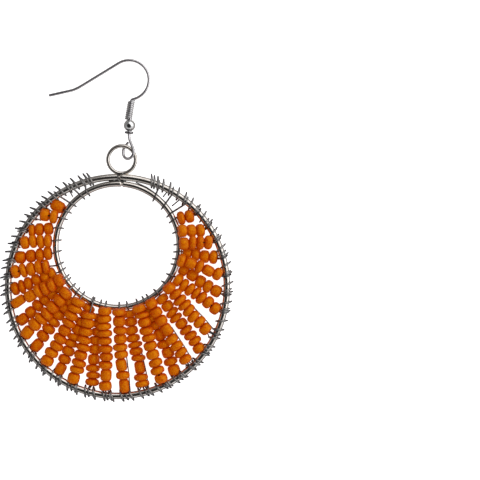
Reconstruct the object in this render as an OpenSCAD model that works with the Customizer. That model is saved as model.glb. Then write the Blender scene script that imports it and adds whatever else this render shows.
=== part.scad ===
// Dangle earring: two soldered wire hoops, glass beads strung between them, and a fish hook ear wire.
// It lies flat. X and Y run in the plane of the hoops, Y points to the ear wire, and Z is up.
// The origin is under the middle of the whole earring.

/* [Hoops] */
// Diameter of the outer hoop, at the middle of its wire
hoop_d = 52.5; // [52:0.1:52.7]
// Thickness of the outer hoop's wire
hoop_wire = 1.6; // [1.4:0.1:1.6]
// Diameter of the inner hoop, at the middle of its wire
inner_d = 29.7; // [29.4:0.1:29.9]
// Thickness of the inner hoop's wire
inner_wire = 1.4; // [1.2:0.1:1.4]
// Distance between the middles of the two wires where they are soldered
solder_step = 1.6; // [1.5:0.05:1.7]
// Height of the hoops' plane above the surface
hoop_lift = 2.4; // [2.4:0.05:2.5]

/* [Hanging ring] */
// Diameter of the ring on top, at the middle of its wire
ring_d = 6.6; // [6.4:0.1:6.7]
// Thickness of the ring's wire
ring_wire = 0.8; // [0.7:0.05:0.8]
// Angle from the top of the outer hoop at which the ring is soldered, to the right
ring_turn = 1.9; // [1.6:0.1:2.2]

/* [Ear wire] */
// Thickness of the ear wire
ear_wire_d = 0.6; // [0.5:0.05:0.65]
// Radius of the big bend that hangs in the ear
ear_bend_r = 4.8; // [4.8:0.05:4.9]
// Diameter of the ball on the shank
ball_d = 2.8; // [2.6:0.1:2.9]
// Outer diameter of the coil on the shank
coil_d = 1.8; // [1.7:0.05:1.9]
// Number of turns in the coil
coil_turns = 8; // [6:1:8]

/* [Beads] */
// Diameter of the shortest beads
bead_d = 3.05; // [2.8:0.05:3.05]
// How much thinner a bead is for each extra millimetre of its length
bead_slim = 0.25; // [0.2:0.05:0.4]
// Diameter of the hole in each bead
bead_hole = 1.1; // [1.1:0.05:1.2]
// Thickness of the stringing wire
string_wire = 0.35; // [0.3:0.05:0.35]

/* [Hidden] */
hoop_r = hoop_d / 2;
inner_r = inner_d / 2;
ring_r = ring_d / 2;
inner_y = hoop_r - inner_r - solder_step;

// How far the loops of stringing wire stand off the two hoops
loop_reach_outer = 1.0;
loop_reach_inner = 0.2;
loop_seat = 0.08;
loop_pitch = 0.4;
loop_steps = 8;
// How far inside the end beads the wire is already straight
bore_entry = 0.15;

// Beads on one string keep this much apart, so that each is loose
bead_clear = 0.22;
// Distance that the end beads keep from the hoops, and the rise from which a bead lies over the inner hoop
hoop_clear = 0.16;
over_wire = 1.5;
// The flat ends of a bead, as a share of its diameter
bead_end = 0.62;
short_bead = 1.6;
bead_shift = 0.1;
bead_lean = 2.5;

// The wire's free end, measured from the middle of the outer hoop, and its direction
tail_tip = [-16.4, 46.1, ear_wire_d / 2];
tail_heading = 12.5;
// The ear wire rests on its tail and on the crown of its bend along this line
// The ball holds the rest of the wire up
rest_heading = 25.1;
ball_from_line = 14.85;
ear_tilt = asin((ball_d - ear_wire_d) / 2 / ball_from_line);

// Each row is one bend: straight length before it, turn of the bending plane, radius, angle
ear_bends = [
    [4.9, 0, 8, 19],
    [10.9, 180, ear_bend_r, 199],
    [0, 180, 0.6, 74],
    [7.6, 42, 4, 34],
    [2.1, 176, 1.4, 26],
    [0, -5, 1.6, 181],
    [0.5, 10, 1.4, 41],
    [1.5, 0, 0, 0]
];
// The shank, which carries coil and ball, starts after this many bends
shank_step = 3;
bend_step = 12;
coil_start = 0.1;
coil_length = 4.4;
coil_wire = 0.42;
ball_at = 5.83;
collar_d = 2.1;
collar_h = 0.45;
collar_gap = 0.12;
shank_hole = ear_wire_d + 0.16;

// Each row is one string of beads, from the left side round the bottom to the right side
// Angle at the outer hoop, angle at the inner hoop, wire bare at the outer end, wire bare at the inner end
// Rise over the hoops' plane at the outer end, rise at the inner end, girth, bead lengths from outside
strings = [
    [129.3, 144.0, 1.75, 0.90, -0.2, 0.00, 0.90, [1.5, 1.4]],
    [137.8, 154.7, 0.95, 0.95, 0.4, 0.50, 0.96, [2.6, 2.0]],
    [149.2, 162.8, 0.95, 1.40, -0.4, -0.40, 0.92, [1.6, 2.2, 2.4]],
    [156.9, 174.9, 0.95, 0.95, 0.5, 0.50, 0.96, [2.3, 1.9, 1.9, 1.9]],
    [164.7, 186.7, 0.95, 1.10, -0.4, -0.40, 0.98, [2.6, 2.4, 1.9, 2.0]],
    [173.6, 196.2, 0.95, 2.20, 0.6, 0.80, 0.98, [2.2, 1.7, 2.2, 1.9, 1.7]],
    [182.2, 205.2, 1.00, 1.50, -0.5, -0.80, 0.96, [1.9, 1.4, 2.0, 2.2, 2.2, 1.8]],
    [190.8, 211.2, 0.95, 0.15, 0.5, 2.05, 0.96, [3.6, 2.8, 1.6, 1.7, 1.9, 2.2]],
    [200.2, 216.2, 1.05, 1.60, -0.5, -0.90, 0.92, [2.6, 2.2, 1.9, 1.9, 2.2, 1.9]],
    [208.7, 222.3, 0.95, 0.75, 0.5, 2.05, 1.02, [2.9, 2.2, 1.6, 1.8, 2.2, 2.2, 2.2]],
    [217.0, 228.9, 0.95, 1.90, -0.5, -0.90, 0.98, [2.9, 2.0, 1.9, 1.7, 1.9, 1.9, 1.9]],
    [227.9, 235.8, 1.15, 0.65, 0.5, 2.05, 1.00, [2.4, 2.0, 2.0, 2.0, 2.4, 1.7, 1.9, 1.7, 1.9]],
    [235.9, 244.4, 0.95, 0.95, -0.5, -0.90, 0.96, [3.1, 2.2, 2.3, 1.7, 1.7, 2.4, 1.9, 1.9, 1.9]],
    [245.8, 248.0, 1.15, 2.40, 0.5, 2.15, 1.00, [2.8, 1.8, 1.7, 2.3, 1.8, 1.9, 2.2, 2.3, 1.6]],
    [255.9, 253.4, 1.75, 2.25, -0.5, -0.90, 0.96, [1.8, 1.7, 1.8, 2.8, 2.5, 2.2, 2.2, 1.9, 1.7]],
    [264.0, 258.7, 1.30, 0.15, 0.5, 2.10, 0.98, [2.3, 3.0, 1.9, 2.0, 1.8, 1.8, 1.7, 1.6, 1.8, 2.0]],
    [273.7, 271.0, 0.95, 0.25, 0.2, 2.10, 0.98, [3.4, 1.9, 3.1, 1.9, 1.6, 2.3, 1.8, 2.5, 1.8]],
    [283.8, 279.7, 1.40, 1.00, -0.5, -0.90, 0.96, [1.7, 1.7, 3.4, 1.6, 1.9, 1.4, 1.9, 2.2, 2.2, 1.9]],
    [294.6, 290.1, 1.00, 0.20, 0.5, 2.10, 1.00, [2.4, 1.9, 2.0, 2.3, 2.2, 1.8, 1.9, 2.3, 1.4, 2.0]],
    [303.1, 296.8, 0.95, 1.60, -0.5, -0.90, 0.98, [2.6, 1.8, 2.5, 1.9, 2.9, 1.9, 1.9, 1.9]],
    [312.3, 299.7, 1.55, 0.10, 0.5, 2.05, 0.94, [1.9, 1.7, 1.8, 2.0, 2.9, 2.2, 2.2, 2.4]],
    [321.8, 310.9, 0.95, 0.95, -0.4, 0.30, 0.94, [2.4, 1.8, 1.8, 1.7, 2.4, 1.6, 1.7, 2.4, 2.2]],
    [332.1, 321.3, 1.95, 0.10, 0.5, 2.05, 0.98, [2.3, 1.9, 1.8, 1.7, 1.4, 1.6, 1.7, 2.4]],
    [344.9, 331.7, 0.95, 0.95, -0.2, 0.50, 0.98, [2.6, 2.4, 1.9, 1.7, 1.9, 1.9, 2.2]],
    [354.1, 342.0, 1.75, 0.95, -0.5, -0.90, 0.94, [2.4, 1.9, 2.2, 2.4, 2.2]],
    [364.1, 348.5, 1.15, 0.20, 0.5, 2.15, 0.95, [2.2, 3.1, 1.9, 3.1, 1.9]],
    [374.9, 354.6, 1.15, 0.95, -0.5, -0.80, 0.98, [1.9, 2.3, 1.9, 2.2]],
    [383.6, 362.1, 1.05, 0.10, 0.5, 2.05, 1.00, [2.0, 1.9, 1.8, 2.5]],
    [391.8, 373.7, 1.05, 0.20, -0.2, 2.05, 0.96, [2.2, 2.5, 2.5]],
    [401.7, 383.3, 1.45, 0.90, 0.0, 0.30, 0.96, [2.2, 1.9]]
];
string_count = len(strings);

string_names = [for (i = [1:string_count]) str("bead_strand_", i < 10 ? "0" : "", i)];
metal_names = ["hoop_frame", "ear_wire", "ear_coil", "ear_ball", "ear_collar", "bead_wires"];

// The middle of the whole earring, from the middle of the outer hoop
wrap_reach = hoop_r + hoop_wire / 2 + loop_reach_outer + string_wire / 2;
crown_y = 54.75;
middle_y = (crown_y - wrap_reach) / 2;

function total(v, i = 0) = i == len(v) ? 0 : v[i] + total(v, i + 1);
function partial(v, n) = n == 0 ? 0 : v[n - 1] + partial(v, n - 1);
function unit(v) = v / norm(v);
function on_circle(r, a) = [r * cos(a), r * sin(a), 0];

function outer_end(s) = on_circle(hoop_r, s[0]) + [0, 0, s[4]];
function inner_end(s) = [0, inner_y, 0] + on_circle(inner_r, s[1]) + [0, 0, s[5]];
function string_dir(s) = unit(inner_end(s) - outer_end(s));
function bead_girth(s, k) = s[6] * (bead_d - bead_slim * (s[7][k] - short_bead));
// Bare wire that an end bead's flat end needs beside a hoop, where the string slants away from the radius
function end_need(dir, out, wire, girth) =
    let (slant = acos(min(1, abs(dir * out))))
        (wire / 2 + hoop_clear + girth * bead_end / 2 * sin(slant)) / cos(slant);
function bare_outer(s) =
    max(s[2], end_need(string_dir(s), on_circle(1, s[0]), hoop_wire, bead_girth(s, 0)));
function bare_inner(s) =
    let (last = len(s[7]) - 1)
        s[5] > over_wire ? s[3]
            : max(s[3], end_need(string_dir(s), on_circle(1, s[1]), inner_wire, bead_girth(s, last)));
// Distance between the middles of the two hoops' wires along a string
function string_length(s) = norm(inner_end(s) - outer_end(s));
// What a string's bead lengths are multiplied by to fill it between its bare ends
function string_fit(s) =
    let (gaps = bead_clear * (len(s[7]) - 1))
        (string_length(s) - bare_outer(s) - bare_inner(s) - gaps) / total(s[7]);
// Distance of the middle of bead k along its string
function bead_at(s, k) = bare_outer(s) + string_fit(s) * (partial(s[7], k) + s[7][k] / 2) + k * bead_clear;

// Lays its children flat in the frame of the finished earring
module placed() {
    translate([0, -middle_y, 0])
        children();
}

// One hoop of round wire
module wire_hoop(radius, wire) {
    rotate_extrude($fn = 180)
        translate([radius, 0])
            circle(d = wire, $fn = 32);
}

module hoop_frame() {
    solder_r = 0.75;
    solder_spread = 1.1;
    ring_seat = 0.92;
    seat_solder_r = 0.6;
    seat_r = hoop_r + hoop_wire / 2;
    color("silver")
        placed()
            translate([0, 0, hoop_lift]) {
                wire_hoop(hoop_r, hoop_wire);
                translate([0, inner_y, 0])
                    wire_hoop(inner_r, inner_wire);
                for (x = [-solder_spread, 0, solder_spread])
                    translate([x, hoop_r - solder_step / 2, 0])
                        sphere(r = solder_r, $fn = 48);
                rotate([0, 0, -ring_turn]) {
                    translate([0, hoop_r + ring_seat + ring_r, 0])
                        wire_hoop(ring_r, ring_wire);
                    translate([0, seat_r, 0])
                        sphere(r = seat_solder_r, $fn = 48);
                }
            }
}

// A frame is [place, x, y, z]: the wire runs along z and bends towards x
function spin(v, axis, a) = v * cos(a) + cross(axis, v) * sin(a) + axis * (axis * v) * (1 - cos(a));
function tail_turned(v) = spin(v, on_circle(1, rest_heading), -ear_tilt);
tail_frame = [
    tail_tip,
    tail_turned(on_circle(1, tail_heading + 90)),
    tail_turned([0, 0, 1]),
    tail_turned(on_circle(1, tail_heading))
];
// The frame where bend b starts, and the frame at angle a of it
function bend_start(f, b) = [
    f[0] + b[0] * f[3],
    cos(b[1]) * f[1] + sin(b[1]) * f[2],
    cos(b[1]) * f[2] - sin(b[1]) * f[1],
    f[3]
];
function bend_part(f, r, a) = [
    f[0] + r * (1 - cos(a)) * f[1] + r * sin(a) * f[3],
    cos(a) * f[1] - sin(a) * f[3],
    f[2],
    cos(a) * f[3] + sin(a) * f[1]
];
function past_bend(f, b) = bend_part(bend_start(f, b), b[2], b[3]);
function frame_after(n) = n == 0 ? tail_frame : past_bend(frame_after(n - 1), ear_bends[n - 1]);

// The points of the wire from bend i to its end
function bend_points(f, b) =
    let (start = bend_start(f, b), steps = ceil(b[3] / bend_step), first = b[0] > 0 ? 0 : 1)
        steps == 0 ? [start[0]]
            : [for (k = [first:steps]) bend_part(start, b[2], b[3] * k / steps)[0]];
function points_from(i, f) =
    i == len(ear_bends) ? []
        : concat(bend_points(f, ear_bends[i]), points_from(i + 1, past_bend(f, ear_bends[i])));

module in_frame(f) {
    multmatrix([for (k = [0:2]) [f[1][k], f[2][k], f[3][k], f[0][k]]])
        children();
}

// A straight tail, which goes through the ear, and the bent rest of the wire
module ear_wire() {
    seat = 0.2;
    tail_length = ear_bends[0][0];
    rest = points_from(0, tail_frame);
    tail_dir = tail_frame[3];
    color("gainsboro")
        placed() {
            in_frame(tail_frame)
                cylinder(d = ear_wire_d, h = tail_length, $fn = 32);
            tube(concat([rest[0] - seat * tail_dir], rest), ear_wire_d / 2 - 0.004, 8, tail_frame[2]);
        }
}

module on_shank() {
    placed()
        in_frame(frame_after(shank_step))
            children();
}

// A tube of the given radius and number of sides along a list of points
function turned(axis, dir) = unit(axis - dir * (axis * dir));
function path_dir(p, i) =
    i == 0 ? unit(p[1] - p[0])
        : i == len(p) - 1 ? unit(p[i] - p[i - 1])
        : unit(unit(p[i + 1] - p[i]) + unit(p[i] - p[i - 1]));
function path_axes(p, i, axis) =
    i == len(p) ? []
        : let (a = turned(axis, path_dir(p, i))) concat([a], path_axes(p, i + 1, a));

module tube(p, r, sides, first_axis) {
    axes = path_axes(p, 0, first_axis);
    rings = [for (i = [0:len(p) - 1])
        let (a = axes[i], b = cross(path_dir(p, i), a))
            for (k = [0:sides - 1])
                p[i] + r * (cos(360 * k / sides) * a + sin(360 * k / sides) * b)];
    last = (len(p) - 1) * sides;
    sheet = [for (i = [0:len(p) - 2])
        for (k = [0:sides - 1])
            let (n = (k + 1) % sides)
                each [
                    [i * sides + k, (i + 1) * sides + k, (i + 1) * sides + n],
                    [i * sides + k, (i + 1) * sides + n, i * sides + n]
                ]];
    start_cap = [[for (k = [0:sides - 1]) k]];
    end_cap = [[for (k = [sides - 1:-1:0]) last + k]];
    polyhedron(points = rings, faces = concat(sheet, start_cap, end_cap), convexity = 8);
}

module ear_coil() {
    turn_steps = 14;
    coil_r = (coil_d - coil_wire) / 2;
    pitch = (coil_length - coil_wire) / coil_turns;
    steps = coil_turns * turn_steps;
    low = coil_start + coil_wire / 2;
    points = [for (i = [0:steps])
        on_circle(coil_r, 360 * i / turn_steps) + [0, 0, low + pitch * i / turn_steps]];
    color("lightgray")
        on_shank()
            tube(points, coil_wire / 2, 6, [1, 0, 0]);
}

module ear_ball() {
    color("white")
        on_shank()
            translate([0, 0, ball_at])
                difference() {
                    sphere(d = ball_d, $fn = 96);
                    cylinder(d = shank_hole, h = ball_d + 1, center = true, $fn = 48);
                }
}

module ear_collar() {
    color("gray")
        on_shank()
            translate([0, 0, ball_at + ball_d / 2 + collar_gap])
                difference() {
                    cylinder(d = collar_d, h = collar_h, $fn = 48);
                    translate([0, 0, -0.5])
                        cylinder(d = shank_hole, h = collar_h + 1, $fn = 48);
                }
}

// A barrel of glass with flat ends and a straight hole, its middle at the origin
module bead(girth, length) {
    shoulder = girth * (1 - bead_end) / 2;
    side_r = (length * length / 4 + shoulder * shoulder) / (2 * shoulder);
    difference() {
        rotate_extrude($fn = 40)
            intersection() {
                translate([girth / 2 - side_r, 0])
                    circle(r = side_r, $fn = 160);
                translate([0, -length / 2])
                    square([girth, length]);
            }
        cylinder(d = bead_hole, h = length + 1, center = true, $fn = 40);
    }
}

// A value between -1 and 1 that differs from bead to bead
function wiggle(n, k, j) = sin(47 * n + 137.5 * k + 91 * j);

// All beads of one string, each a little shifted and leaning on its wire
module bead_strand(n) {
    s = strings[n];
    dir = string_dir(s);
    color("darkorange")
        placed()
            translate(outer_end(s) + [0, 0, hoop_lift])
                rotate([0, acos(dir[2]), atan2(dir[1], dir[0])])
                    for (k = [0:len(s[7]) - 1])
                        translate([0, 0, bead_at(s, k)])
                            translate(bead_shift * [wiggle(n, k, 1), wiggle(n, k, 2), 0])
                                rotate(bead_lean * [wiggle(n, k, 3), wiggle(n, k, 4), 0])
                                    bead(bead_girth(s, k), string_fit(s) * s[7][k]);
}

// A loop of stringing wire round a hoop: points from angle a to angle b round the hoop's wire, 0 outwards
// The loop crosses its middle after the share "at" of its way
function loop_side(wire) = wire / 2 + string_wire / 2 + loop_seat;
function loop_points(middle, out, wire, reach, a, b, at) =
    let (along = cross([0, 0, 1], out), side = loop_side(wire))
        [for (i = [0:loop_steps])
            let (t = a + (b - a) * i / loop_steps, stand = side + max(0, cos(t)) * reach)
                middle + stand * cos(t) * out + side * sin(t) * [0, 0, 1]
                    + loop_pitch * (i / loop_steps - at) * along];

// The angle at which a string that comes in at this rise meets a hoop's wire, over it or under it
function meet_angle(rise, wire) =
    let (share = abs(rise) / loop_side(wire),
        turn = share > 1.3 ? 130 : max(10, asin(min(1, share))))
        (rise < 0 ? -1 : 1) * (180 - turn);
function inner_entry(s) = s[5] > over_wire ? -bore_entry : bore_entry;
function far_angle(rise) = rise < 0 ? 120 : -120;

// The loops of one string's wire: round the outer hoop at its start, round the inner hoop at its end
function outer_loop(s, out) =
    loop_points(hoop_r * out, out, hoop_wire, loop_reach_outer,
        far_angle(s[4]), meet_angle(s[4], hoop_wire), 1);
function inner_loop(s, in) =
    loop_points([0, inner_y, 0] - inner_r * in, in, inner_wire, loop_reach_inner,
        meet_angle(s[5], inner_wire), far_angle(s[5]), 0);
// The whole wire of one string: a loop, the run through the beads, a loop
function string_path(s) =
    let (
        dir = string_dir(s),
        entry = outer_end(s) + dir * (bare_outer(s) + bore_entry),
        leave = inner_end(s) - dir * (bare_inner(s) + inner_entry(s))
    )
        concat(outer_loop(s, on_circle(1, s[0])), [entry, leave], inner_loop(s, -on_circle(1, s[1])));

module bead_wires() {
    color("dimgray")
        placed()
            translate([0, 0, hoop_lift])
                for (s = strings)
                    tube(string_path(s), string_wire / 2, 5, on_circle(1, s[0] + 90));
}

hoop_frame();
ear_wire();
ear_coil();
ear_ball();
ear_collar();
bead_wires();
for (i = [0:string_count - 1])
    bead_strand(i);
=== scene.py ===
"""A dangle earring that lies flat: two soldered hoops, glass beads strung between them, an ear wire."""

import logging
import math
from dataclasses import dataclass, field
from enum import Enum
from typing import ClassVar

import bpy
import numpy as np
from mathutils import Matrix, Vector


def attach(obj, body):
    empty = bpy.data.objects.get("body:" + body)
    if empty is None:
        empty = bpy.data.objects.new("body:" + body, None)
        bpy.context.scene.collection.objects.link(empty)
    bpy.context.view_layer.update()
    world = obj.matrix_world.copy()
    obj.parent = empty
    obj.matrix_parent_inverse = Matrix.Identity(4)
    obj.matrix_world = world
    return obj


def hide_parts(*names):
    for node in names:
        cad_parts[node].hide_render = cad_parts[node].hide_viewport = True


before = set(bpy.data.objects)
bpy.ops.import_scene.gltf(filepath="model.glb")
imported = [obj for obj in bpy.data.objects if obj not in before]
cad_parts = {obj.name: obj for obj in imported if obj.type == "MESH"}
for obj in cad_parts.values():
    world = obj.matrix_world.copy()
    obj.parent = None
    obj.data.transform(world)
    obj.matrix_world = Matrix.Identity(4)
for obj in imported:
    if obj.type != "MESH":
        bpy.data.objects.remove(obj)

LOG = logging.getLogger("earring")
BODY = "root"
MM = 0.001
UP = (0.0, 0.0, 1.0)
# Middle of the outer hoop, in mm from the middle of the whole earring on the table
HOOP_MIDDLE = np.array([0.0, -13.2625, 2.4])
# Thickness of the ball on the shank, in mm
BALL_D = 2.8
# Scale of the finest grain, of scratches in metal and pits in glass
FINE_GRAIN = 5200.0


class Slot(Enum):
    """The record's material slots."""

    HOOP = "hoop_metal"
    EAR_WIRE = "ear_wire_metal"
    BALL = "ball_metal"
    STRING = "string_wire"
    BEADS = "beads"


class Layer(Enum):
    """Kinds of value that ride on the points of a path or of a set of beads."""

    NUMBER = "FLOAT"
    ARROW = "FLOAT_VECTOR"


# Node trees


class TreeBuilder:
    """Writes a node tree with few words."""

    def __init__(self, tree: bpy.types.NodeTree) -> None:
        """Starts on a tree.

        Args:
            tree: The tree to write to.
        """
        self.tree = tree

    @classmethod
    def group(cls, name: str, kind: str) -> "TreeBuilder":
        """Makes a new node group.

        Args:
            name: Name of the group.
            kind: Blender's kind of tree.

        Returns:
            A builder for the new group.
        """
        return cls(bpy.data.node_groups.new(name, kind))

    def socket(self, name: str, kind: str, default: object = None, out: bool = False) -> None:
        """Adds a named input or output to the group.

        Args:
            name: Name of the socket.
            kind: Blender's kind of socket.
            default: Its value when nothing is given.
            out: True for an output.
        """
        side = "OUTPUT" if out else "INPUT"
        socket = self.tree.interface.new_socket(name=name, in_out=side, socket_type=kind)
        if default is not None:
            socket.default_value = default

    def add(self, kind: str, inputs: dict | None = None, **settings: object) -> bpy.types.Node:
        """Adds a node.

        Args:
            kind: Blender's kind of node.
            inputs: Values or sockets for its inputs, by name or number.
            settings: Properties of the node.

        Returns:
            The new node.
        """
        node = self.tree.nodes.new(kind)
        for key, value in settings.items():
            setattr(node, key, value)
        for key, value in (inputs or {}).items():
            socket = node.inputs[key]
            if isinstance(value, bpy.types.NodeSocket):
                self.tree.links.new(value, socket)
            else:
                socket.default_value = value
        return node

    def math(self, operation: str, *values: object) -> bpy.types.NodeSocket:
        """Adds a number operation and returns its result."""
        return self.add("ShaderNodeMath", dict(enumerate(values)), operation=operation).outputs[0]

    def vector(self, operation: str, *values: object) -> bpy.types.NodeSocket:
        """Adds a vector operation and returns its result."""
        return self.add("ShaderNodeVectorMath", dict(enumerate(values)), operation=operation).outputs[0]

    def scaled(self, arrow: object, factor: object) -> bpy.types.NodeSocket:
        """Adds a vector times a number and returns the result."""
        inputs = {"Vector": arrow, "Scale": factor}
        return self.add("ShaderNodeVectorMath", inputs, operation="SCALE").outputs[0]

    def read(self, name: str, kind: Layer) -> bpy.types.NodeSocket:
        """Reads a value that rides on the points."""
        return self.add("GeometryNodeInputNamedAttribute", {"Name": name}, data_type=kind.value).outputs[0]

    def store(self, geometry: object, name: str, value: object,
              kind: Layer = Layer.NUMBER) -> bpy.types.NodeSocket:
        """Writes a value on the points.

        Args:
            geometry: The geometry socket.
            name: Name of the value.
            value: The socket or number to store.
            kind: Number or arrow.

        Returns:
            The geometry with the value.
        """
        inputs = {"Geometry": geometry, "Name": name, "Value": value}
        node = self.add("GeometryNodeStoreNamedAttribute", inputs, data_type=kind.value, domain="POINT")
        return node.outputs[0]

    def dressed(self, geometry: object, finish: object) -> None:
        """Ends a geometry tree: smooth faces, no instances, one material.

        Args:
            geometry: The geometry socket.
            finish: The material socket.
        """
        smooth = self.add("GeometryNodeSetShadeSmooth", {"Geometry": geometry})
        real = self.add("GeometryNodeRealizeInstances", {"Geometry": smooth.outputs[0]})
        painted = self.add("GeometryNodeSetMaterial", {"Geometry": real.outputs[0], "Material": finish})
        self.add("NodeGroupOutput", {"Geometry": painted.outputs[0]})


def wire_tree() -> bpy.types.NodeTree:
    """Makes the tree that draws round wire along paths.

    Returns:
        A geometry tree with the inputs Radius, Sides and Finish. Paths carry a number "thick".
    """
    b = TreeBuilder.group("wire_along_path", "GeometryNodeTree")
    b.socket("Geometry", "NodeSocketGeometry")
    b.socket("Radius", "NodeSocketFloat", 0.2 * MM)
    b.socket("Sides", "NodeSocketInt", 6)
    b.socket("Finish", "NodeSocketMaterial")
    b.socket("Geometry", "NodeSocketGeometry", out=True)
    given = b.add("NodeGroupInput").outputs
    path = b.add("GeometryNodeMeshToCurve", {"Mesh": given["Geometry"]})
    inputs = {"Resolution": given["Sides"], "Radius": given["Radius"]}
    round_section = b.add("GeometryNodeCurvePrimitiveCircle", inputs)
    swept = b.add("GeometryNodeCurveToMesh", {
        "Curve": path.outputs[0],
        "Profile Curve": round_section.outputs[0],
        "Scale": b.read("thick", Layer.NUMBER),
        "Fill Caps": True,
    })
    b.dressed(swept.outputs[0], given["Finish"])
    return b.tree


def coil_tree() -> bpy.types.NodeTree:
    """Makes the tree that winds a wire round an upright axis.

    Returns:
        A geometry tree with the inputs Turns, Coil Radius, Height, Wire Radius, Steps and Finish.
    """
    wire_sides = 10
    b = TreeBuilder.group("wound_coil", "GeometryNodeTree")
    b.socket("Geometry", "NodeSocketGeometry")
    b.socket("Turns", "NodeSocketFloat", 8.0)
    b.socket("Coil Radius", "NodeSocketFloat", MM)
    b.socket("Height", "NodeSocketFloat", 4 * MM)
    b.socket("Wire Radius", "NodeSocketFloat", 0.2 * MM)
    b.socket("Steps", "NodeSocketInt", 24)
    b.socket("Finish", "NodeSocketMaterial")
    b.socket("Geometry", "NodeSocketGeometry", out=True)
    given = b.add("NodeGroupInput").outputs
    line = b.add("GeometryNodeCurveSpiral", {
        "Resolution": given["Steps"],
        "Rotations": given["Turns"],
        "Start Radius": given["Coil Radius"],
        "End Radius": given["Coil Radius"],
        "Height": given["Height"],
        "Reverse": True,
    })
    section = b.add("GeometryNodeCurvePrimitiveCircle", {
        "Resolution": wire_sides,
        "Radius": given["Wire Radius"],
    })
    swept = b.add("GeometryNodeCurveToMesh", {
        "Curve": line.outputs[0],
        "Profile Curve": section.outputs[0],
        "Fill Caps": True,
    })
    b.dressed(swept.outputs[0], given["Finish"])
    return b.tree


def bead_tree() -> bpy.types.NodeTree:
    """Makes the tree that sets a drilled, rounded bead on each point.

    Returns:
        A geometry tree with the inputs Hole Radius, Sides, Lumps and Finish. Each point carries the arrows
        "axis" and "side" and the numbers "girth", "span" and "square".
    """
    stations = 8
    lump_scale = 620.0
    end_depth = 3.0
    b = TreeBuilder.group("beads_on_points", "GeometryNodeTree")
    b.socket("Geometry", "NodeSocketGeometry")
    b.socket("Hole Radius", "NodeSocketFloat", 0.5 * MM)
    b.socket("Sides", "NodeSocketInt", 16)
    b.socket("Lumps", "NodeSocketFloat", 0.04)
    b.socket("Finish", "NodeSocketMaterial")
    b.socket("Geometry", "NodeSocketGeometry", out=True)
    given = b.add("NodeGroupInput").outputs
    index = b.add("GeometryNodeInputIndex").outputs[0]

    # A ring of quads: "turn" goes round the hole, "station" from one end over the bulge to the other
    circle = "GeometryNodeCurvePrimitiveCircle"
    ring = b.add(circle, {"Resolution": given["Sides"], "Radius": MM}).outputs[0]
    turn = b.math("MULTIPLY", b.math("DIVIDE", index, given["Sides"]), math.tau)
    ring = b.store(ring, "turn", turn)
    section = b.add(circle, {"Resolution": stations, "Radius": 0.3 * MM}).outputs[0]
    section = b.store(section, "station", b.math("DIVIDE", index, stations - 1.0))
    blank = b.add("GeometryNodeCurveToMesh", {"Curve": ring, "Profile Curve": section}).outputs[0]

    place = b.add("GeometryNodeInputPosition").outputs[0]
    marked = b.store(given["Geometry"], "middle", place, Layer.ARROW)
    points = b.add("GeometryNodeMeshToPoints", {"Mesh": marked}).outputs[0]
    placed = b.add("GeometryNodeInstanceOnPoints", {"Points": points, "Instance": blank}).outputs[0]
    loose = b.add("GeometryNodeRealizeInstances", {"Geometry": placed}).outputs[0]

    axis = b.read("axis", Layer.ARROW)
    side = b.read("side", Layer.ARROW)
    turn = b.read("turn", Layer.NUMBER)
    share = b.math("MULTIPLY", b.math("SUBTRACT", b.read("station", Layer.NUMBER), 0.5), math.pi)
    along = b.math("SINE", share)
    fall = b.math("POWER", b.math("ABSOLUTE", along), b.read("square", Layer.NUMBER))
    crown = b.math("SQRT", b.math("MAXIMUM", b.math("SUBTRACT", 1.0, fall), 0.0))
    flesh = b.math("SUBTRACT", b.math("MULTIPLY", b.read("girth", Layer.NUMBER), 0.5), given["Hole Radius"])
    other = b.vector("CROSS_PRODUCT", axis, side)
    out = b.vector("ADD", b.scaled(side, b.math("COSINE", turn)), b.scaled(other, b.math("SINE", turn)))
    half = b.math("MULTIPLY", b.read("span", Layer.NUMBER), b.math("MULTIPLY", along, 0.5))
    core = b.vector("ADD", b.read("middle", Layer.ARROW), b.scaled(axis, half))
    smooth = b.vector("ADD", core, b.scaled(out, b.math("MULTIPLY", flesh, crown)))
    noise = b.add("ShaderNodeTexNoise", {"Vector": smooth, "Scale": lump_scale, "Detail": 1.0}).outputs[0]
    lump = b.math("MULTIPLY", b.math("SUBTRACT", noise, 0.5), b.math("MULTIPLY", given["Lumps"], 2.0))
    grown = b.math("MULTIPLY", b.math("MULTIPLY", flesh, crown), b.math("ADD", lump, 1.0))
    radius = b.math("ADD", given["Hole Radius"], grown)
    shaped = b.add("GeometryNodeSetPosition", {
        "Geometry": loose,
        "Position": b.vector("ADD", core, b.scaled(out, radius)),
    })
    # Painted shade: "end" rises towards each bead's two ends, where the glaze is later drawn darker and
    # redder
    marked = b.store(shaped.outputs[0], "end", b.math("POWER", b.math("ABSOLUTE", along), end_depth))
    b.dressed(marked, given["Finish"])
    return b.tree


# Meshes


def shown(name: str, data: bpy.types.ID) -> bpy.types.Object:
    """Makes an object of a mesh, a light or a camera, and links it to the scene.

    Args:
        name: Name of the object.
        data: What it shows.

    Returns:
        The object, at the origin.
    """
    made = bpy.data.objects.new(name, data)
    bpy.context.scene.collection.objects.link(made)
    return made


def modelled(name: str, points: list[tuple[float, ...]], faces: list[tuple[int, ...]],
             finish: bpy.types.Material) -> bpy.types.Object:
    """Makes an object with smooth faces.

    Args:
        name: Name of the object.
        points: Its points, in metres.
        faces: The numbers of each face's points.
        finish: Its material.

    Returns:
        The object.
    """
    mesh = bpy.data.meshes.new(name)
    mesh.from_pydata(points, [], faces)
    mesh.polygons.foreach_set("use_smooth", [True] * len(mesh.polygons))
    mesh.materials.append(finish)
    return shown(name, mesh)


def mark(mesh: bpy.types.Mesh, numbers: dict[str, list[float]]) -> None:
    """Puts numbers on the points of a mesh.

    Args:
        mesh: The mesh.
        numbers: A number for each point, by name.
    """
    for name, values in numbers.items():
        layer = mesh.attributes.new(name, Layer.NUMBER.value, "POINT")
        layer.data.foreach_set("value", values)


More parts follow.
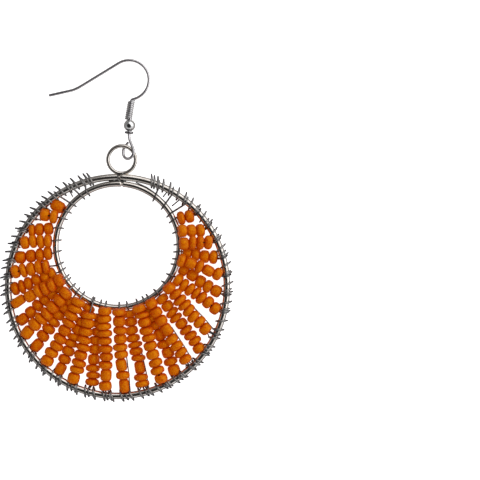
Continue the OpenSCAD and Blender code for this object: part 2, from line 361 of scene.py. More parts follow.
def corners_of(mesh: bpy.types.Mesh) -> tuple[np.ndarray, np.ndarray]:
    """Reads the triangles of a mesh.

    Args:
        mesh: The mesh.

    Returns:
        The places of its points, in metres, and the numbers of each triangle's points.
    """
    mesh.calc_loop_triangles()
    places = np.empty(len(mesh.vertices) * 3)
    mesh.vertices.foreach_get("co", places)
    corners = np.empty(len(mesh.loop_triangles) * 3, np.int32)
    mesh.loop_triangles.foreach_get("vertices", corners)
    return places.reshape(-1, 3), corners.reshape(-1, 3)


class Workshop:
    """Turns paths, points and profiles into finished pieces."""

    def __init__(self) -> None:
        """Builds the geometry trees once."""
        self.wire = wire_tree()
        self.coil = coil_tree()
        self.beads = bead_tree()

    def grown(self, name: str, seed: bpy.types.Mesh, tree: bpy.types.NodeTree,
              given: dict) -> bpy.types.Object:
        """Runs a geometry tree on a mesh and keeps the result as a plain mesh.

        Args:
            name: Name of the piece.
            seed: The mesh of paths or points.
            tree: The geometry tree.
            given: Values for the tree's inputs, by name.

        Returns:
            An object with the plain mesh, at the origin.
        """
        made = shown(name, seed)
        grow = made.modifiers.new("grow", "NODES")
        grow.node_group = tree
        for socket in tree.interface.items_tree:
            if socket.item_type == "SOCKET" and socket.in_out == "INPUT" and socket.name in given:
                grow[socket.identifier] = given[socket.name]
        bpy.context.view_layer.update()
        evaluated = made.evaluated_get(bpy.context.evaluated_depsgraph_get())
        mesh = bpy.data.meshes.new_from_object(evaluated)
        made.modifiers.remove(grow)
        made.data = mesh
        mesh.name = name
        return made

    def paths(self, name: str, lines: list["Path"]) -> bpy.types.Mesh:
        """Makes a mesh of open or closed lines.

        Args:
            name: Name of the mesh.
            lines: The paths.

        Returns:
            A mesh of points and edges, with the numbers "thick" and "age" on its points.
        """
        points, edges, thick, age = [], [], [], []
        for line in lines:
            first = len(points)
            count = len(line.points)
            points += [tuple(p * MM) for p in line.points]
            edges += [(first + k, first + k + 1) for k in range(count - 1)]
            if line.closed:
                edges.append((first + count - 1, first))
            thick += list(line.thick) if line.thick else [1.0] * count
            age += list(line.age) if line.age else [0.0] * count
        mesh = bpy.data.meshes.new(name)
        mesh.from_pydata(points, edges, [])
        mark(mesh, {"thick": thick, "age": age})
        return mesh

    def drawn(self, name: str, lines: list["Path"], wire: float, sides: int,
              finish: bpy.types.Material) -> bpy.types.Object:
        """Draws round wire along paths.

        Args:
            name: Name of the piece.
            lines: The paths.
            wire: Thickness of the wire in mm.
            sides: Number of sides of its section.
            finish: Its material.

        Returns:
            The piece.
        """
        given = {"Radius": wire / 2 * MM, "Sides": sides, "Finish": finish}
        return self.grown(name, self.paths(name + "_path", lines), self.wire, given)

    def turned(self, name: str, profile: list[tuple[float, float]], sides: int, place: Matrix,
               finish: bpy.types.Material) -> bpy.types.Object:
        """Turns a closed section about an axis, like work on a lathe.

        Args:
            name: Name of the piece.
            profile: Radius and height of each point of the section, in mm, in order round it.
            sides: Number of steps of the turn.
            place: Where the axis is, in metres.
            finish: Its material.

        Returns:
            The piece.
        """
        count = len(profile)
        points = []
        for k in range(sides):
            a = math.tau * k / sides
            points += [(r * math.cos(a) * MM, r * math.sin(a) * MM, h * MM) for r, h in profile]
        faces = []
        for k in range(sides):
            n = (k + 1) % sides
            for i in range(count):
                j = (i + 1) % count
                faces.append((k * count + i, n * count + i, n * count + j, k * count + j))
        made = modelled(name, points, faces, finish)
        made.data.transform(place)
        return made


def kept(piece: bpy.types.Object, slot: Slot, *nodes: str) -> None:
    """Turns a piece's faces outwards, fixes it to the body and hides the solids that it stands for.

    Args:
        piece: The finished piece.
        slot: The material slot that it takes its finish from. It is not used.
        nodes: The solids that it replaces.
    """
    mesh = piece.data
    mesh.update()
    if signed_volume(mesh) < 0:
        mesh.flip_normals()
    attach(piece, BODY)
    if nodes:
        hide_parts(*nodes)
    LOG.info("%s: %d faces", piece.name, len(mesh.polygons))


def signed_volume(mesh: bpy.types.Mesh) -> float:
    """Measures the volume inside a closed mesh.

    Args:
        mesh: The mesh.

    Returns:
        The volume, which is negative where the faces point inwards.
    """
    places, corners = corners_of(mesh)
    a, b, c = (places[corners[:, k]] for k in range(3))
    return float(np.einsum("ij,ij->i", a, np.cross(b, c)).sum() / 6)


# Finishes


def tarnish_group() -> bpy.types.NodeTree:
    """Makes the shared look of plated wire: dull patches and fine scratches.

    Returns:
        A shader group with the outputs Tone, Gloss and Relief.
    """
    b = TreeBuilder.group("tarnish", "ShaderNodeTree")
    b.socket("Place", "NodeSocketVector")
    b.socket("Bright", "NodeSocketColor", (0.8, 0.8, 0.8, 1))
    b.socket("Dull", "NodeSocketColor", (0.3, 0.3, 0.3, 1))
    b.socket("Patch Size", "NodeSocketFloat", 400.0)
    b.socket("Smooth", "NodeSocketFloat", 0.18)
    b.socket("Rough", "NodeSocketFloat", 0.4)
    b.socket("Tone", "NodeSocketColor", out=True)
    b.socket("Gloss", "NodeSocketFloat", out=True)
    b.socket("Relief", "NodeSocketFloat", out=True)
    given = b.add("NodeGroupInput").outputs
    patch = b.add("ShaderNodeTexNoise", {
        "Vector": given["Place"],
        "Scale": given["Patch Size"],
        "Detail": 4.0,
    })
    edge = b.add("ShaderNodeMapRange", {"Value": patch.outputs[0], "From Min": 0.42, "From Max": 0.68})
    tone = b.add("ShaderNodeMix", {
        "Factor": edge.outputs[0],
        6: given["Bright"],
        7: given["Dull"],
    }, data_type="RGBA")
    gloss = b.add("ShaderNodeMapRange", {
        "Value": patch.outputs[0],
        "To Min": given["Smooth"],
        "To Max": given["Rough"],
    })
    stretch = b.add("ShaderNodeMapping", {"Vector": given["Place"], "Scale": (1.0, 0.22, 1.0)})
    lines = b.add("ShaderNodeTexNoise", {"Vector": stretch.outputs[0], "Scale": FINE_GRAIN, "Detail": 3.0})
    b.add("NodeGroupOutput", {
        "Tone": tone.outputs[2],
        "Gloss": gloss.outputs[0],
        "Relief": lines.outputs[0],
    })
    return b.tree


def glaze_group() -> bpy.types.NodeTree:
    """Makes the shared look of the beads: glass with a faint cloud, amber grain and fine pits.

    Returns:
        A shader group with the outputs Tone, Gloss and Relief.
    """
    b = TreeBuilder.group("glaze", "ShaderNodeTree")
    b.socket("Place", "NodeSocketVector")
    b.socket("Cast", "NodeSocketFloat", 0.0)
    b.socket("End", "NodeSocketFloat", 0.0)
    b.socket("Light", "NodeSocketColor", (0.6, 0.2, 0.0, 1))
    b.socket("Deep", "NodeSocketColor", (0.5, 0.1, 0.0, 1))
    b.socket("Tone", "NodeSocketColor", out=True)
    b.socket("Gloss", "NodeSocketFloat", out=True)
    b.socket("Relief", "NodeSocketFloat", out=True)
    given = b.add("NodeGroupInput").outputs
    noise, place = "ShaderNodeTexNoise", given["Place"]
    cloud = b.add(noise, {"Vector": place, "Scale": 900.0, "Detail": 3.0}).outputs[0]
    pits = b.add(noise, {"Vector": place, "Scale": FINE_GRAIN, "Detail": 2.0}).outputs[0]
    grain = b.add(noise, {"Vector": place, "Scale": 3400.0, "Detail": 2.0}).outputs[0]
    mixed = b.math("ADD", b.math("MULTIPLY", cloud, 0.25), b.math("MULTIPLY", grain, 0.75))
    shade = b.math("ADD", mixed, b.math("MULTIPLY", given["Cast"], 0.03))
    # Painted shade: each bead's ends turn towards the deep colour, as if its neighbours shaded them
    shade = b.math("ADD", shade, b.math("MULTIPLY", given["End"], 0.16))
    edge = b.add("ShaderNodeMapRange", {"Value": shade, "From Min": 0.42, "From Max": 0.66})
    tone = b.add("ShaderNodeMix", {
        "Factor": edge.outputs[0],
        6: given["Light"],
        7: given["Deep"],
    }, data_type="RGBA")
    gloss = b.add("ShaderNodeMapRange", {"Value": pits, "To Min": 0.34, "To Max": 0.52})
    relief = b.math("ADD", b.math("MULTIPLY", mixed, 0.7), b.math("MULTIPLY", pits, 0.3))
    b.add("NodeGroupOutput", {"Tone": tone.outputs[2], "Gloss": gloss.outputs[0], "Relief": relief})
    return b.tree


class Effects:
    """The shader groups that the finishes share, each made once."""

    made: dict[str, bpy.types.NodeTree] = {}

    @classmethod
    def tarnish(cls) -> bpy.types.NodeTree:
        """The group of plated and bare metal.

        Returns:
            The group, made at its first use.
        """
        if "tarnish" not in cls.made:
            cls.made["tarnish"] = tarnish_group()
        return cls.made["tarnish"]

    @classmethod
    def glaze(cls) -> bpy.types.NodeTree:
        """The group of the beads' glass.

        Returns:
            The group, made at its first use.
        """
        if "glaze" not in cls.made:
            cls.made["glaze"] = glaze_group()
        return cls.made["glaze"]


def blank_material(name: str) -> tuple[bpy.types.Material, TreeBuilder]:
    """Makes a material with an empty node tree.

    Args:
        name: Name of the material.

    Returns:
        The material, and a builder for its tree.
    """
    material = bpy.data.materials.new(name)
    material.use_nodes = True
    material.node_tree.nodes.clear()
    return material, TreeBuilder(material.node_tree)


Colour = tuple[float, float, float, float]


@dataclass(frozen=True)
class WireFinish:
    """Plated or bare metal wire."""

    name: str
    bright: Colour
    dull: Colour
    smooth: float
    rough: float
    patch_size: float = 400.0
    relief: float = 0.12
    painted_shade_colour: Colour | None = None

    def material(self) -> bpy.types.Material:
        """Makes the material.

        Returns:
            A metal whose colour and gloss vary in small patches; with a painted shade colour, it darkens
            towards it by the painted shade on its points.
        """
        material, b = blank_material(self.name)
        place = b.add("ShaderNodeTexCoord").outputs["Object"]
        look = b.add("ShaderNodeGroup", node_tree=Effects.tarnish())
        b.tree.links.new(place, look.inputs["Place"])
        look.inputs["Bright"].default_value = self.bright
        look.inputs["Dull"].default_value = self.dull
        look.inputs["Patch Size"].default_value = self.patch_size
        look.inputs["Smooth"].default_value = self.smooth
        look.inputs["Rough"].default_value = self.rough
        tone = look.outputs["Tone"]
        # Painted shade: the wire is drawn towards the painted shade colour by the painted shade on its
        # points
        if self.painted_shade_colour:
            age = b.add("ShaderNodeAttribute", attribute_name="age").outputs["Fac"]
            tone = b.add("ShaderNodeMix", {"Factor": age, 6: tone, 7: self.painted_shade_colour}, data_type="RGBA")
            tone = tone.outputs[2]
        bump = b.add("ShaderNodeBump", {
            "Strength": self.relief,
            "Distance": 0.02 * MM,
            "Height": look.outputs["Relief"],
        })
        metal = b.add("ShaderNodeBsdfPrincipled", {
            "Base Color": tone,
            "Metallic": 1.0,
            "Roughness": look.outputs["Gloss"],
            "Normal": bump.outputs[0],
        })
        b.add("ShaderNodeOutputMaterial", {"Surface": metal.outputs[0]})
        return material


@dataclass(frozen=True)
class BeadFinish:
    """Opaque coloured glass."""

    name: str
    light: Colour
    deep: Colour
    sheen: Colour = (1.0, 0.90, 0.03, 1)
    # Painted glow: a faint emission that stands in for light passing through the glass
    painted_glow: Colour = (0.062, 0.008, 0.0, 1)
    relief: float = 0.6

    def material(self) -> bpy.types.Material:
        """Makes the material.

        Returns:
            A soft, uneven glaze with a faint painted glow that stands in for light passing through the
            glass. The number "cast" shifts a bead's tone at random, and "end" is high at its two ends, where
            it paints shade: the glaze is drawn darker and redder there.
        """
        material, b = blank_material(self.name)
        place = b.add("ShaderNodeTexCoord").outputs["Object"]
        cast = b.add("ShaderNodeAttribute", attribute_name="cast").outputs["Fac"]
        # The number "end" carries the painted shade at each bead's ends
        end = b.add("ShaderNodeAttribute", attribute_name="end").outputs["Fac"]
        look = b.add("ShaderNodeGroup", node_tree=Effects.glaze())
        b.tree.links.new(place, look.inputs["Place"])
        b.tree.links.new(cast, look.inputs["Cast"])
        b.tree.links.new(end, look.inputs["End"])
        look.inputs["Light"].default_value = self.light
        look.inputs["Deep"].default_value = self.deep
        bump = b.add("ShaderNodeBump", {
            "Strength": self.relief,
            "Distance": 0.05 * MM,
            "Height": look.outputs["Relief"],
        })
        # Painted glow: the emission below stands in for light that passes through and between the beads
        glass = b.add("ShaderNodeBsdfPrincipled", {
            "Base Color": look.outputs["Tone"],
            "Roughness": look.outputs["Gloss"],
            "Specular IOR Level": 1.0,
            "Specular Tint": self.sheen,
            "Emission Color": self.painted_glow,
            "Emission Strength": 1.0,
            "Normal": bump.outputs[0],
        })
        b.add("ShaderNodeOutputMaterial", {"Surface": glass.outputs[0]})
        return material


@dataclass(frozen=True)
class TableFinish:
    """The pale lit table under the earring."""

    name: str
    tone: Colour
    # Colours of the floor that only metal mirrors: painted light on the window's side, painted shade on the
    # far side
    painted_window_light: Colour
    painted_far_shade: Colour
    glow: float
    across: tuple[float, float, float] = (0.75, 0.66, 0.0)
    dark_until: float = -12 * MM
    bright_from: float = 24 * MM

    def material(self) -> bpy.types.Material:
        """Makes the material.

        Returns:
            A white matt surface that glows a little, so that the gaps between beads stay pale. Polished
            metal sees a darker copy of it as a room floor, with painted light on the window's side and
            painted shade on the other.
        """
        material, b = blank_material(self.name)
        place = b.add("ShaderNodeTexCoord").outputs["Object"]
        grain = b.add("ShaderNodeTexNoise", {"Vector": place, "Scale": 300.0}).outputs[0]
        gloss = b.add("ShaderNodeMapRange", {"Value": grain, "To Min": 0.85, "To Max": 0.95})
        table = b.add("ShaderNodeBsdfPrincipled", {
            "Base Color": self.tone,
            "Roughness": gloss.outputs[0],
            "Specular IOR Level": 0.1,
            "Emission Color": self.tone,
            "Emission Strength": self.glow,
        })
        # Painted light and shade in reflections: across the table the mirrored floor goes from the painted
        # far shade to the painted window light
        side = b.add("ShaderNodeVectorMath", {0: place, 1: self.across}, operation="DOT_PRODUCT")
        lit = b.add("ShaderNodeMapRange", {
            "Value": side.outputs["Value"],
            "From Min": self.dark_until,
            "From Max": self.bright_from,
        })
        floor = b.add("ShaderNodeMix", {
            "Factor": lit.outputs[0],
            6: self.painted_far_shade,
            7: self.painted_window_light,
        }, data_type="RGBA")
        dim = b.add("ShaderNodeBsdfPrincipled", {
            "Base Color": floor.outputs[2],
            "Roughness": 0.9,
            "Specular IOR Level": 0.0,
        })
        # Glossy rays see the darker, painted floor; all other rays see the plain glowing table
        in_mirror = b.add("ShaderNodeLightPath").outputs["Is Glossy Ray"]
        both = b.add("ShaderNodeMixShader", {0: in_mirror, 1: table.outputs[0], 2: dim.outputs[0]})
        b.add("ShaderNodeOutputMaterial", {"Surface": both.outputs[0]})
        return material


HOOP_PLATING = WireFinish(
    "hoop_plating", bright=(0.90, 0.845, 0.79, 1), dull=(0.68, 0.625, 0.57, 1), smooth=0.13, rough=0.24,
)
SOLDER_GREY = WireFinish(
    "solder_grey", bright=(0.20, 0.19, 0.18, 1), dull=(0.10, 0.10, 0.10, 1), smooth=0.30, rough=0.50,
    patch_size=500.0,
)
EAR_PLATING = WireFinish(
    "ear_wire_plating", bright=(0.88, 0.85, 0.88, 1), dull=(0.70, 0.68, 0.70, 1), smooth=0.16, rough=0.28,
)
COIL_GREY = WireFinish(
    "coil_grey", bright=(0.80, 0.79, 0.80, 1), dull=(0.58, 0.57, 0.58, 1), smooth=0.12, rough=0.22,
)
BALL_POLISH = WireFinish(
    "ball_polish", bright=(0.88, 0.88, 0.88, 1), dull=(0.70, 0.70, 0.70, 1), smooth=0.07, rough=0.18,
    patch_size=250.0, relief=0.05,
)
COLLAR_GREY = WireFinish(
    "collar_grey", bright=(0.30, 0.29, 0.30, 1), dull=(0.16, 0.15, 0.16, 1), smooth=0.10, rough=0.20,
    patch_size=250.0, relief=0.05,
)
# The string wire turns towards its painted shade colour where the paths carry painted shade
STRING_STEEL = WireFinish(
    "string_steel", bright=(0.84, 0.83, 0.80, 1), dull=(0.55, 0.54, 0.52, 1), smooth=0.20, rough=0.38,
    patch_size=900.0, relief=0.1, painted_shade_colour=(0.09, 0.08, 0.085, 1),
)
ORANGE_GLASS = BeadFinish("orange_glass", light=(0.61, 0.146, 0.0, 1), deep=(0.44, 0.020, 0.0, 1))
# The table, with the painted light and shade that metal mirrors
PALE_TABLE = TableFinish(
    "pale_table", tone=(0.92, 0.92, 0.92, 1), painted_window_light=(0.42, 0.40, 0.385, 1),
    painted_far_shade=(0.16, 0.15, 0.16, 1), glow=0.95,
)


# Paths


@dataclass
class Path:
    """A line that a wire follows, in mm, with its relative thickness and its painted shade at each point."""

    points: list[np.ndarray]
    closed: bool = False
    thick: list[float] | None = None
    age: list[float] | None = None


@dataclass(frozen=True)
class Stop:
    """One point of a wire, with the wire's relative thickness and painted shade there."""

    place: np.ndarray
    thick: float
    age: float

    @staticmethod
    def path(stops: list["Stop"]) -> Path:
        """The open line through the points."""
        return Path([s.place for s in stops], False, [s.thick for s in stops], [s.age for s in stops])


def polar(radius: float, angle: float, z: float = 0.0) -> np.ndarray:
    """A point at a radius and an angle in degrees."""
    a = math.radians(angle)
    return np.array([radius * math.cos(a), radius * math.sin(a), z])


def unit(v: np.ndarray) -> np.ndarray:
    """The vector at length one."""
    return v / np.linalg.norm(v)


def wave(n: float, k: float, j: float = 0.0) -> float:
    """A fixed value between -1 and 1 that differs from place to place."""
    return math.sin(47.0 * n + 137.5 * k + 91.0 * j)


@dataclass(frozen=True)
class Ring:
    """A hoop of round wire that lies flat."""

    middle: np.ndarray
    radius: float
    wire: float

    def at(self, angle: float, out: float = 0.0, up: float = 0.0, along: float = 0.0) -> np.ndarray:
        """A point beside the hoop's wire.

        Args:
            angle: Where on the hoop, in degrees.
            out: Distance outwards from the middle of the wire.
            up: Distance above it.
            along: Distance along the hoop, against the clock.

        Returns:
            The point in mm.
        """
        turn = angle + math.degrees(along / self.radius)
        return self.middle + polar(self.radius + out, turn, up)

    def circle(self, steps: int, seams: tuple[tuple[float, float, float], ...] = ()) -> Path:
        """The hoop's own wire.

        Args:
            steps: Number of points.
            seams: Angle, half width in degrees and depth of each place where the wire is thinner.

        Returns:
            A closed path.
        """
        angles = [360.0 * k / steps for k in range(steps)]
        for middle, half, _ in seams:
            angles += [middle + half * s for s in (-1.0, -0.5, -0.2, 0.0, 0.2, 0.5, 1.0)]
        angles = sorted(a % 360.0 for a in angles)
        points, thick = [], []
        for a in angles:
            share = 1.0
            for middle, half, depth in seams:
                off = abs((a - middle + 180.0) % 360.0 - 180.0) / half
                share -= depth * max(0.0, 1.0 - off) ** 1.5
            points.append(self.at(a))
            thick.append(share)
        return Path(points, True, thick)


OUTER = Ring(HOOP_MIDDLE, 26.25, 1.6)
INNER = Ring(HOOP_MIDDLE + np.array([0.0, 9.8, 0.0]), 14.85, 1.4)
# The ring on top: its radius, its distance from the outer hoop's middle line, its place on the hoop
RING_RADIUS = 3.3
RING_STAND = 0.92
RING_AT = 90.0 - 1.9
HANGER = Ring(HOOP_MIDDLE + polar(OUTER.radius + RING_STAND + RING_RADIUS, RING_AT), RING_RADIUS, 0.9)


# The hoops and the ring


@dataclass
class HoopFrame:
    """The two hoops and the ring on top, soldered to one piece.

    A seam is given by its angle, its half width in degrees and the depth of the dip in the wire. A drop of
    solder is given by its half sizes, and those between the hoops also by their place across.
    """

    seam_outer: tuple[float, float, float] = (89.1, 0.8, 0.55)
    seam_inner: tuple[float, float, float] = (85.8, 1.3, 0.5)
    outer_steps: int = 240
    inner_steps: int = 180
    ring_steps: int = 72
    hoop_sides: int = 20
    ring_sides: int = 16
    between_at: tuple[float, ...] = (-1.15, 0.0, 1.15)
    between_drops: tuple[tuple[float, float, float], ...] = (
        (0.95, 0.62, 0.60), (0.95, 0.72, 0.70), (0.95, 0.62, 0.60),
    )
    ring_drop: tuple[float, float, float] = (1.0, 0.45, 0.5)
    seam_drop: tuple[float, float, float] = (0.42, 0.84, 0.84)
    drop_past_seam: float = 0.9

    def blob(self, name: str, middle: np.ndarray, size: tuple[float, float, float],
             finish: bpy.types.Material) -> bpy.types.Object:
        """A drop of solder.

        Args:
            name: Name of the drop.
            middle: Its middle in mm.
            size: Its half sizes in mm.
            finish: Its material.

        Returns:
            An object of its own, to be joined to the hoops.
        """
        sides, rows = 20, 12
        points = [(0.0, 0.0, -1.0)]
        for i in range(1, rows):
            a = math.pi * i / rows - math.pi / 2
            points += [tuple(polar(math.cos(a), 360.0 * k / sides, math.sin(a))) for k in range(sides)]
        points.append((0.0, 0.0, 1.0))
        faces = [(0, 1 + (k + 1) % sides, 1 + k) for k in range(sides)]
        for i in range(rows - 2):
            a, c = 1 + i * sides, 1 + (i + 1) * sides
            faces += [(a + k, a + (k + 1) % sides, c + (k + 1) % sides, c + k) for k in range(sides)]
        last = 1 + (rows - 2) * sides
        faces += [(last + k, last + (k + 1) % sides, len(points) - 1) for k in range(sides)]
        placed = []
        for p in points:
            rough = 1.0 + 0.05 * math.sin(5 * p[0] + 3 * p[1]) + 0.04 * math.sin(7 * p[2] + 4 * p[0])
            placed.append(tuple((middle + np.array(p) * np.array(size) * rough) * MM))
        return modelled(name, placed, faces, finish)

    def build(self, shop: Workshop) -> None:
        """Makes the hoops, the ring and their solder as one piece.

        Args:
            shop: The workshop.
        """
        finish = HOOP_PLATING.material()
        solder = SOLDER_GREY.material()
        outer = OUTER.circle(self.outer_steps, (self.seam_outer,))
        inner = INNER.circle(self.inner_steps, (self.seam_inner,))
        ring = HANGER.circle(self.ring_steps)
        parts = [
            shop.drawn("hoops", [outer], OUTER.wire, self.hoop_sides, finish),
            shop.drawn("inner", [inner], INNER.wire, self.hoop_sides, finish),
            shop.drawn("ring", [ring], HANGER.wire, self.ring_sides, finish),
        ]
        between = OUTER.radius - OUTER.wire / 2
        for k, (x, size) in enumerate(zip(self.between_at, self.between_drops)):
            middle = HOOP_MIDDLE + np.array([x, between, 0.0])
            parts.append(self.blob(f"solder_{k}", middle, size, solder))
        seat = HOOP_MIDDLE + polar(OUTER.radius + OUTER.wire / 2, RING_AT)
        parts.append(self.blob("ring_solder", seat, self.ring_drop, solder))
        seam = OUTER.at(self.seam_outer[0] + self.drop_past_seam)
        parts.append(self.blob("seam_solder", seam, self.seam_drop, solder))
        joined = join(parts, "hoops_and_ring")
        kept(joined, Slot.HOOP, "hoop_frame")


def join(parts: list[bpy.types.Object], name: str) -> bpy.types.Object:
    """Joins objects to one piece.

    Args:
        parts: The objects, each with its own material.
        name: Name of the piece.

    Returns:
        The first object, with all meshes in it.
    """
    for part in parts:
        if signed_volume(part.data) < 0:
            part.data.flip_normals()
    with bpy.context.temp_override(active_object=parts[0], selected_editable_objects=parts):
        bpy.ops.object.join()
    parts[0].name = name
    parts[0].data.name = name
    return parts[0]


# The ear wire and what it carries


@dataclass(frozen=True)
class Bend:
    """One bend of the ear wire, after a straight length, in mm and degrees."""

    straight: float
    turn: float
    radius: float
    angle: float


@dataclass(frozen=True)
class WireFrame:
    """Where a bent wire is and how it points: it runs along z and bends towards x."""

    place: np.ndarray
    x: np.ndarray
    y: np.ndarray
    z: np.ndarray

    def before(self, bend: Bend) -> "WireFrame":
        """The frame where a bend starts.

        Args:
            bend: The bend, which comes after a straight length.

        Returns:
            The frame at the end of that length, turned the way the wire bends.
        """
        a = math.radians(bend.turn)
        x = math.cos(a) * self.x + math.sin(a) * self.y
        y = math.cos(a) * self.y - math.sin(a) * self.x
        return WireFrame(self.place + bend.straight * self.z, x, y, self.z)

    def along(self, radius: float, angle: float) -> "WireFrame":
        """The frame further on in a bend.

        Args:
            radius: The bend's radius.
            angle: How far round the bend, in degrees.

        Returns:
            The frame there.
        """
        a = math.radians(angle)
        place = self.place + radius * (1 - math.cos(a)) * self.x + radius * math.sin(a) * self.z
        x = math.cos(a) * self.x - math.sin(a) * self.z
        z = math.cos(a) * self.z + math.sin(a) * self.x
        return WireFrame(place, x, self.y, z)

    def matrix(self) -> Matrix:
        """The frame as a matrix in metres."""
        rows = [(self.x[k], self.y[k], self.z[k], self.place[k] * MM) for k in range(3)]
        return Matrix(rows + [(0.0, 0.0, 0.0, 1.0)])


@dataclass
class EarWire:
    """The fish hook ear wire: a straight free end, the big bend, the shank, the eye through the ring."""

    wire: float = 0.6
    drawn_wire: float = 0.68
    sides: int = 14
    longer: float = 0.35
    tip_taper: tuple[tuple[float, float], ...] = ((0.0, 0.45), (0.12, 0.85), (0.3, 1.0))
    end_thick: float = 0.8
    tip: tuple[float, float] = (-16.4, 46.1)
    heading: float = 12.5
    rest_heading: float = 25.1
    ball_from_line: float = 14.85
    step: float = 5.0
    bends: tuple[Bend, ...] = (
        Bend(4.9, 0, 8, 19),
        Bend(10.9, 180, 4.8, 199),
        Bend(0, 180, 0.6, 74),
        Bend(7.6, 42, 4, 34),
        Bend(2.1, 176, 1.4, 26),
        Bend(0, -5, 1.6, 181),
        Bend(0.5, 10, 1.4, 41),
        Bend(1.5, 0, 0, 0),
    )
    shank_step: int = 3

    def start(self) -> WireFrame:
        """The frame at the tip of the free end, tilted so that the ball holds the shank up.

        Returns:
            The frame, in mm.
        """
        tilt = -math.asin((BALL_D - self.wire) / 2 / self.ball_from_line)
        axis = polar(1, self.rest_heading)

        def tilted(v: np.ndarray) -> np.ndarray:
            """The vector turned about the line on which the wire rests."""
            c, s = math.cos(tilt), math.sin(tilt)
            return v * c + np.cross(axis, v) * s + axis * (axis @ v) * (1 - c)

        place = np.array([self.tip[0], self.tip[1] + HOOP_MIDDLE[1], self.wire / 2])
        ahead, aside = polar(1, self.heading), polar(1, self.heading + 90)
        return WireFrame(place, tilted(aside), tilted(np.array(UP)), tilted(ahead))

    def frames(self) -> list[WireFrame]:
        """The frames along the wire.

        Returns:
            The frame at the tip, and then the one after each bend.
        """
        found = [self.start()]
        for bend in self.bends:
            found.append(found[-1].before(bend).along(bend.radius, bend.angle))
        return found

    def path(self) -> Path:
        """The line of the whole wire, its cut tip a little tapered.

        Returns:
            An open path.
        """
        at = self.start()
        tip = at.place - self.longer * at.z
        points = [tip + along * at.z for along, _ in self.tip_taper]
        thick = [share for _, share in self.tip_taper]
        for bend in self.bends:
            at = at.before(bend)
            steps = math.ceil(bend.angle / self.step)
            first = 0 if bend.straight > 0 else 1
            for k in range(first, steps + 1):
                points.append(at.along(bend.radius, bend.angle * k / max(1, steps)).place)
                thick.append(1.0)
            at = at.along(bend.radius, bend.angle)
        thick[-1] = self.end_thick
        return Path(points, False, thick)

    def build(self, shop: Workshop) -> None:
        """Makes the bent wire.

        Args:
            shop: The workshop.
        """
        finish = EAR_PLATING.material()
        piece = shop.drawn("ear_wire_hook", [self.path()], self.drawn_wire, self.sides, finish)
        kept(piece, Slot.EAR_WIRE, "ear_wire")

    def shank(self) -> Matrix:
        """The shank's frame, which carries coil, ball and collar."""
        return self.frames()[self.shank_step].matrix()


@dataclass
class ShankFittings:
    """The coil, the ball and the collar on the shank. Heights run down the shank, from where it starts."""

    coil_d: float = 1.8
    drawn_wire: float = 0.38
    coil_turns: float = 9.0
    coil_start: float = -0.3
    coil_length: float = 4.8
    coil_steps: int = 28
    coil_lean: float = -5.5
    coil_slant: float = -0.25
    coil_play: float = -0.18
    ball_at: float = 5.83
    ball_rows: int = 24
    ball_sides: int = 48
    hole: float = 0.76
    edge_drop: float = 0.1
    edge_width: float = 0.06
    collar_d: float = 2.1
    collar_h: float = 0.45
    collar_gap: float = 0.12
    collar_soft: float = 0.12
    collar_sides: int = 40

    def build_coil(self, shop: Workshop, shank: Matrix) -> None:
        """Winds the coil, which sits a little askew on the shank.

        Args:
            shop: The workshop.
            shank: Where the shank is.
        """
        wound = shop.grown("shank_coil", bpy.data.meshes.new("coil_seed"), shop.coil, {
            "Turns": self.coil_turns,
            "Coil Radius": (self.coil_d - self.drawn_wire) / 2 * MM,
            "Height": (self.coil_length - self.drawn_wire) * MM,
            "Wire Radius": self.drawn_wire / 2 * MM,
            "Steps": self.coil_steps,
            "Finish": COIL_GREY.material(),
        })
        lift = Matrix.Translation((self.coil_play * MM, 0, (self.coil_start + self.drawn_wire / 2) * MM))
        middle = Matrix.Translation((0, 0, self.coil_length / 2 * MM))
        lean = middle @ Matrix.Rotation(math.radians(self.coil_lean), 4, "Y") @ middle.inverted()
        slanted = Matrix.Identity(4)
        slanted[2][0] = self.coil_slant
        wound.data.transform(shank @ lean @ slanted @ lift)
        kept(wound, Slot.EAR_WIRE, "ear_coil")

    def ball_section(self) -> list[tuple[float, float]]:
        """The section of the drilled ball.

        Returns:
            Radius and height of its points, round the outside and back through the hole.
        """
        r, hole = BALL_D / 2, self.hole / 2
        lowest = math.degrees(math.acos((hole + self.edge_width) / r))
        arc = [polar(r, -lowest + 2 * lowest * k / self.ball_rows) for k in range(self.ball_rows + 1)]
        inside = math.sqrt(r * r - hole * hole) - self.edge_drop
        return [(p[0], p[1]) for p in arc] + [(hole, inside), (hole, -inside)]

    def collar_section(self) -> list[tuple[float, float]]:
        """The section of the collar, a disc with a soft raised rim.

        Returns:
            Radius and height of its points.
        """
        r, h, hole, soft = self.collar_d / 2, self.collar_h, self.hole / 2, self.collar_soft
        rim = [(hole, 0.12), (hole + 0.05, 0.1), (r - 4 * soft, 0.08), (r - 2.2 * soft, -0.02)]
        rim += [(r - soft, 0.0), (r - 0.3 * soft, 0.3 * soft), (r, soft), (r, h - soft)]
        rim += [(r - 0.3 * soft, h - 0.3 * soft), (r - soft, h), (r - 2.2 * soft, h + 0.02)]
        return rim + [(r - 4 * soft, h - 0.08), (hole + 0.05, h - 0.1), (hole, h - 0.12)]

    def build(self, shop: Workshop, shank: Matrix) -> None:
        """Makes the three pieces on the shank.

        Args:
            shop: The workshop.
            shank: Where the shank is.
        """
        self.build_coil(shop, shank)
        place = shank @ Matrix.Translation((0, 0, self.ball_at * MM))
        ball = shop.turned("shank_ball", self.ball_section(), self.ball_sides, place, BALL_POLISH.material())
        kept(ball, Slot.BALL, "ear_ball")
        place = shank @ Matrix.Translation((0, 0, (self.ball_at + BALL_D / 2 + self.collar_gap) * MM))
        rim, finish = self.collar_section(), COLLAR_GREY.material()
        kept(shop.turned("shank_collar", rim, self.collar_sides, place, finish), Slot.BALL, "ear_collar")


# Beads


@dataclass(frozen=True)
class Bead:
    """One bead: its middle, the direction of its hole, its length and its thickness, in mm."""

    middle: np.ndarray
    axis: np.ndarray
    length: float
    girth: float


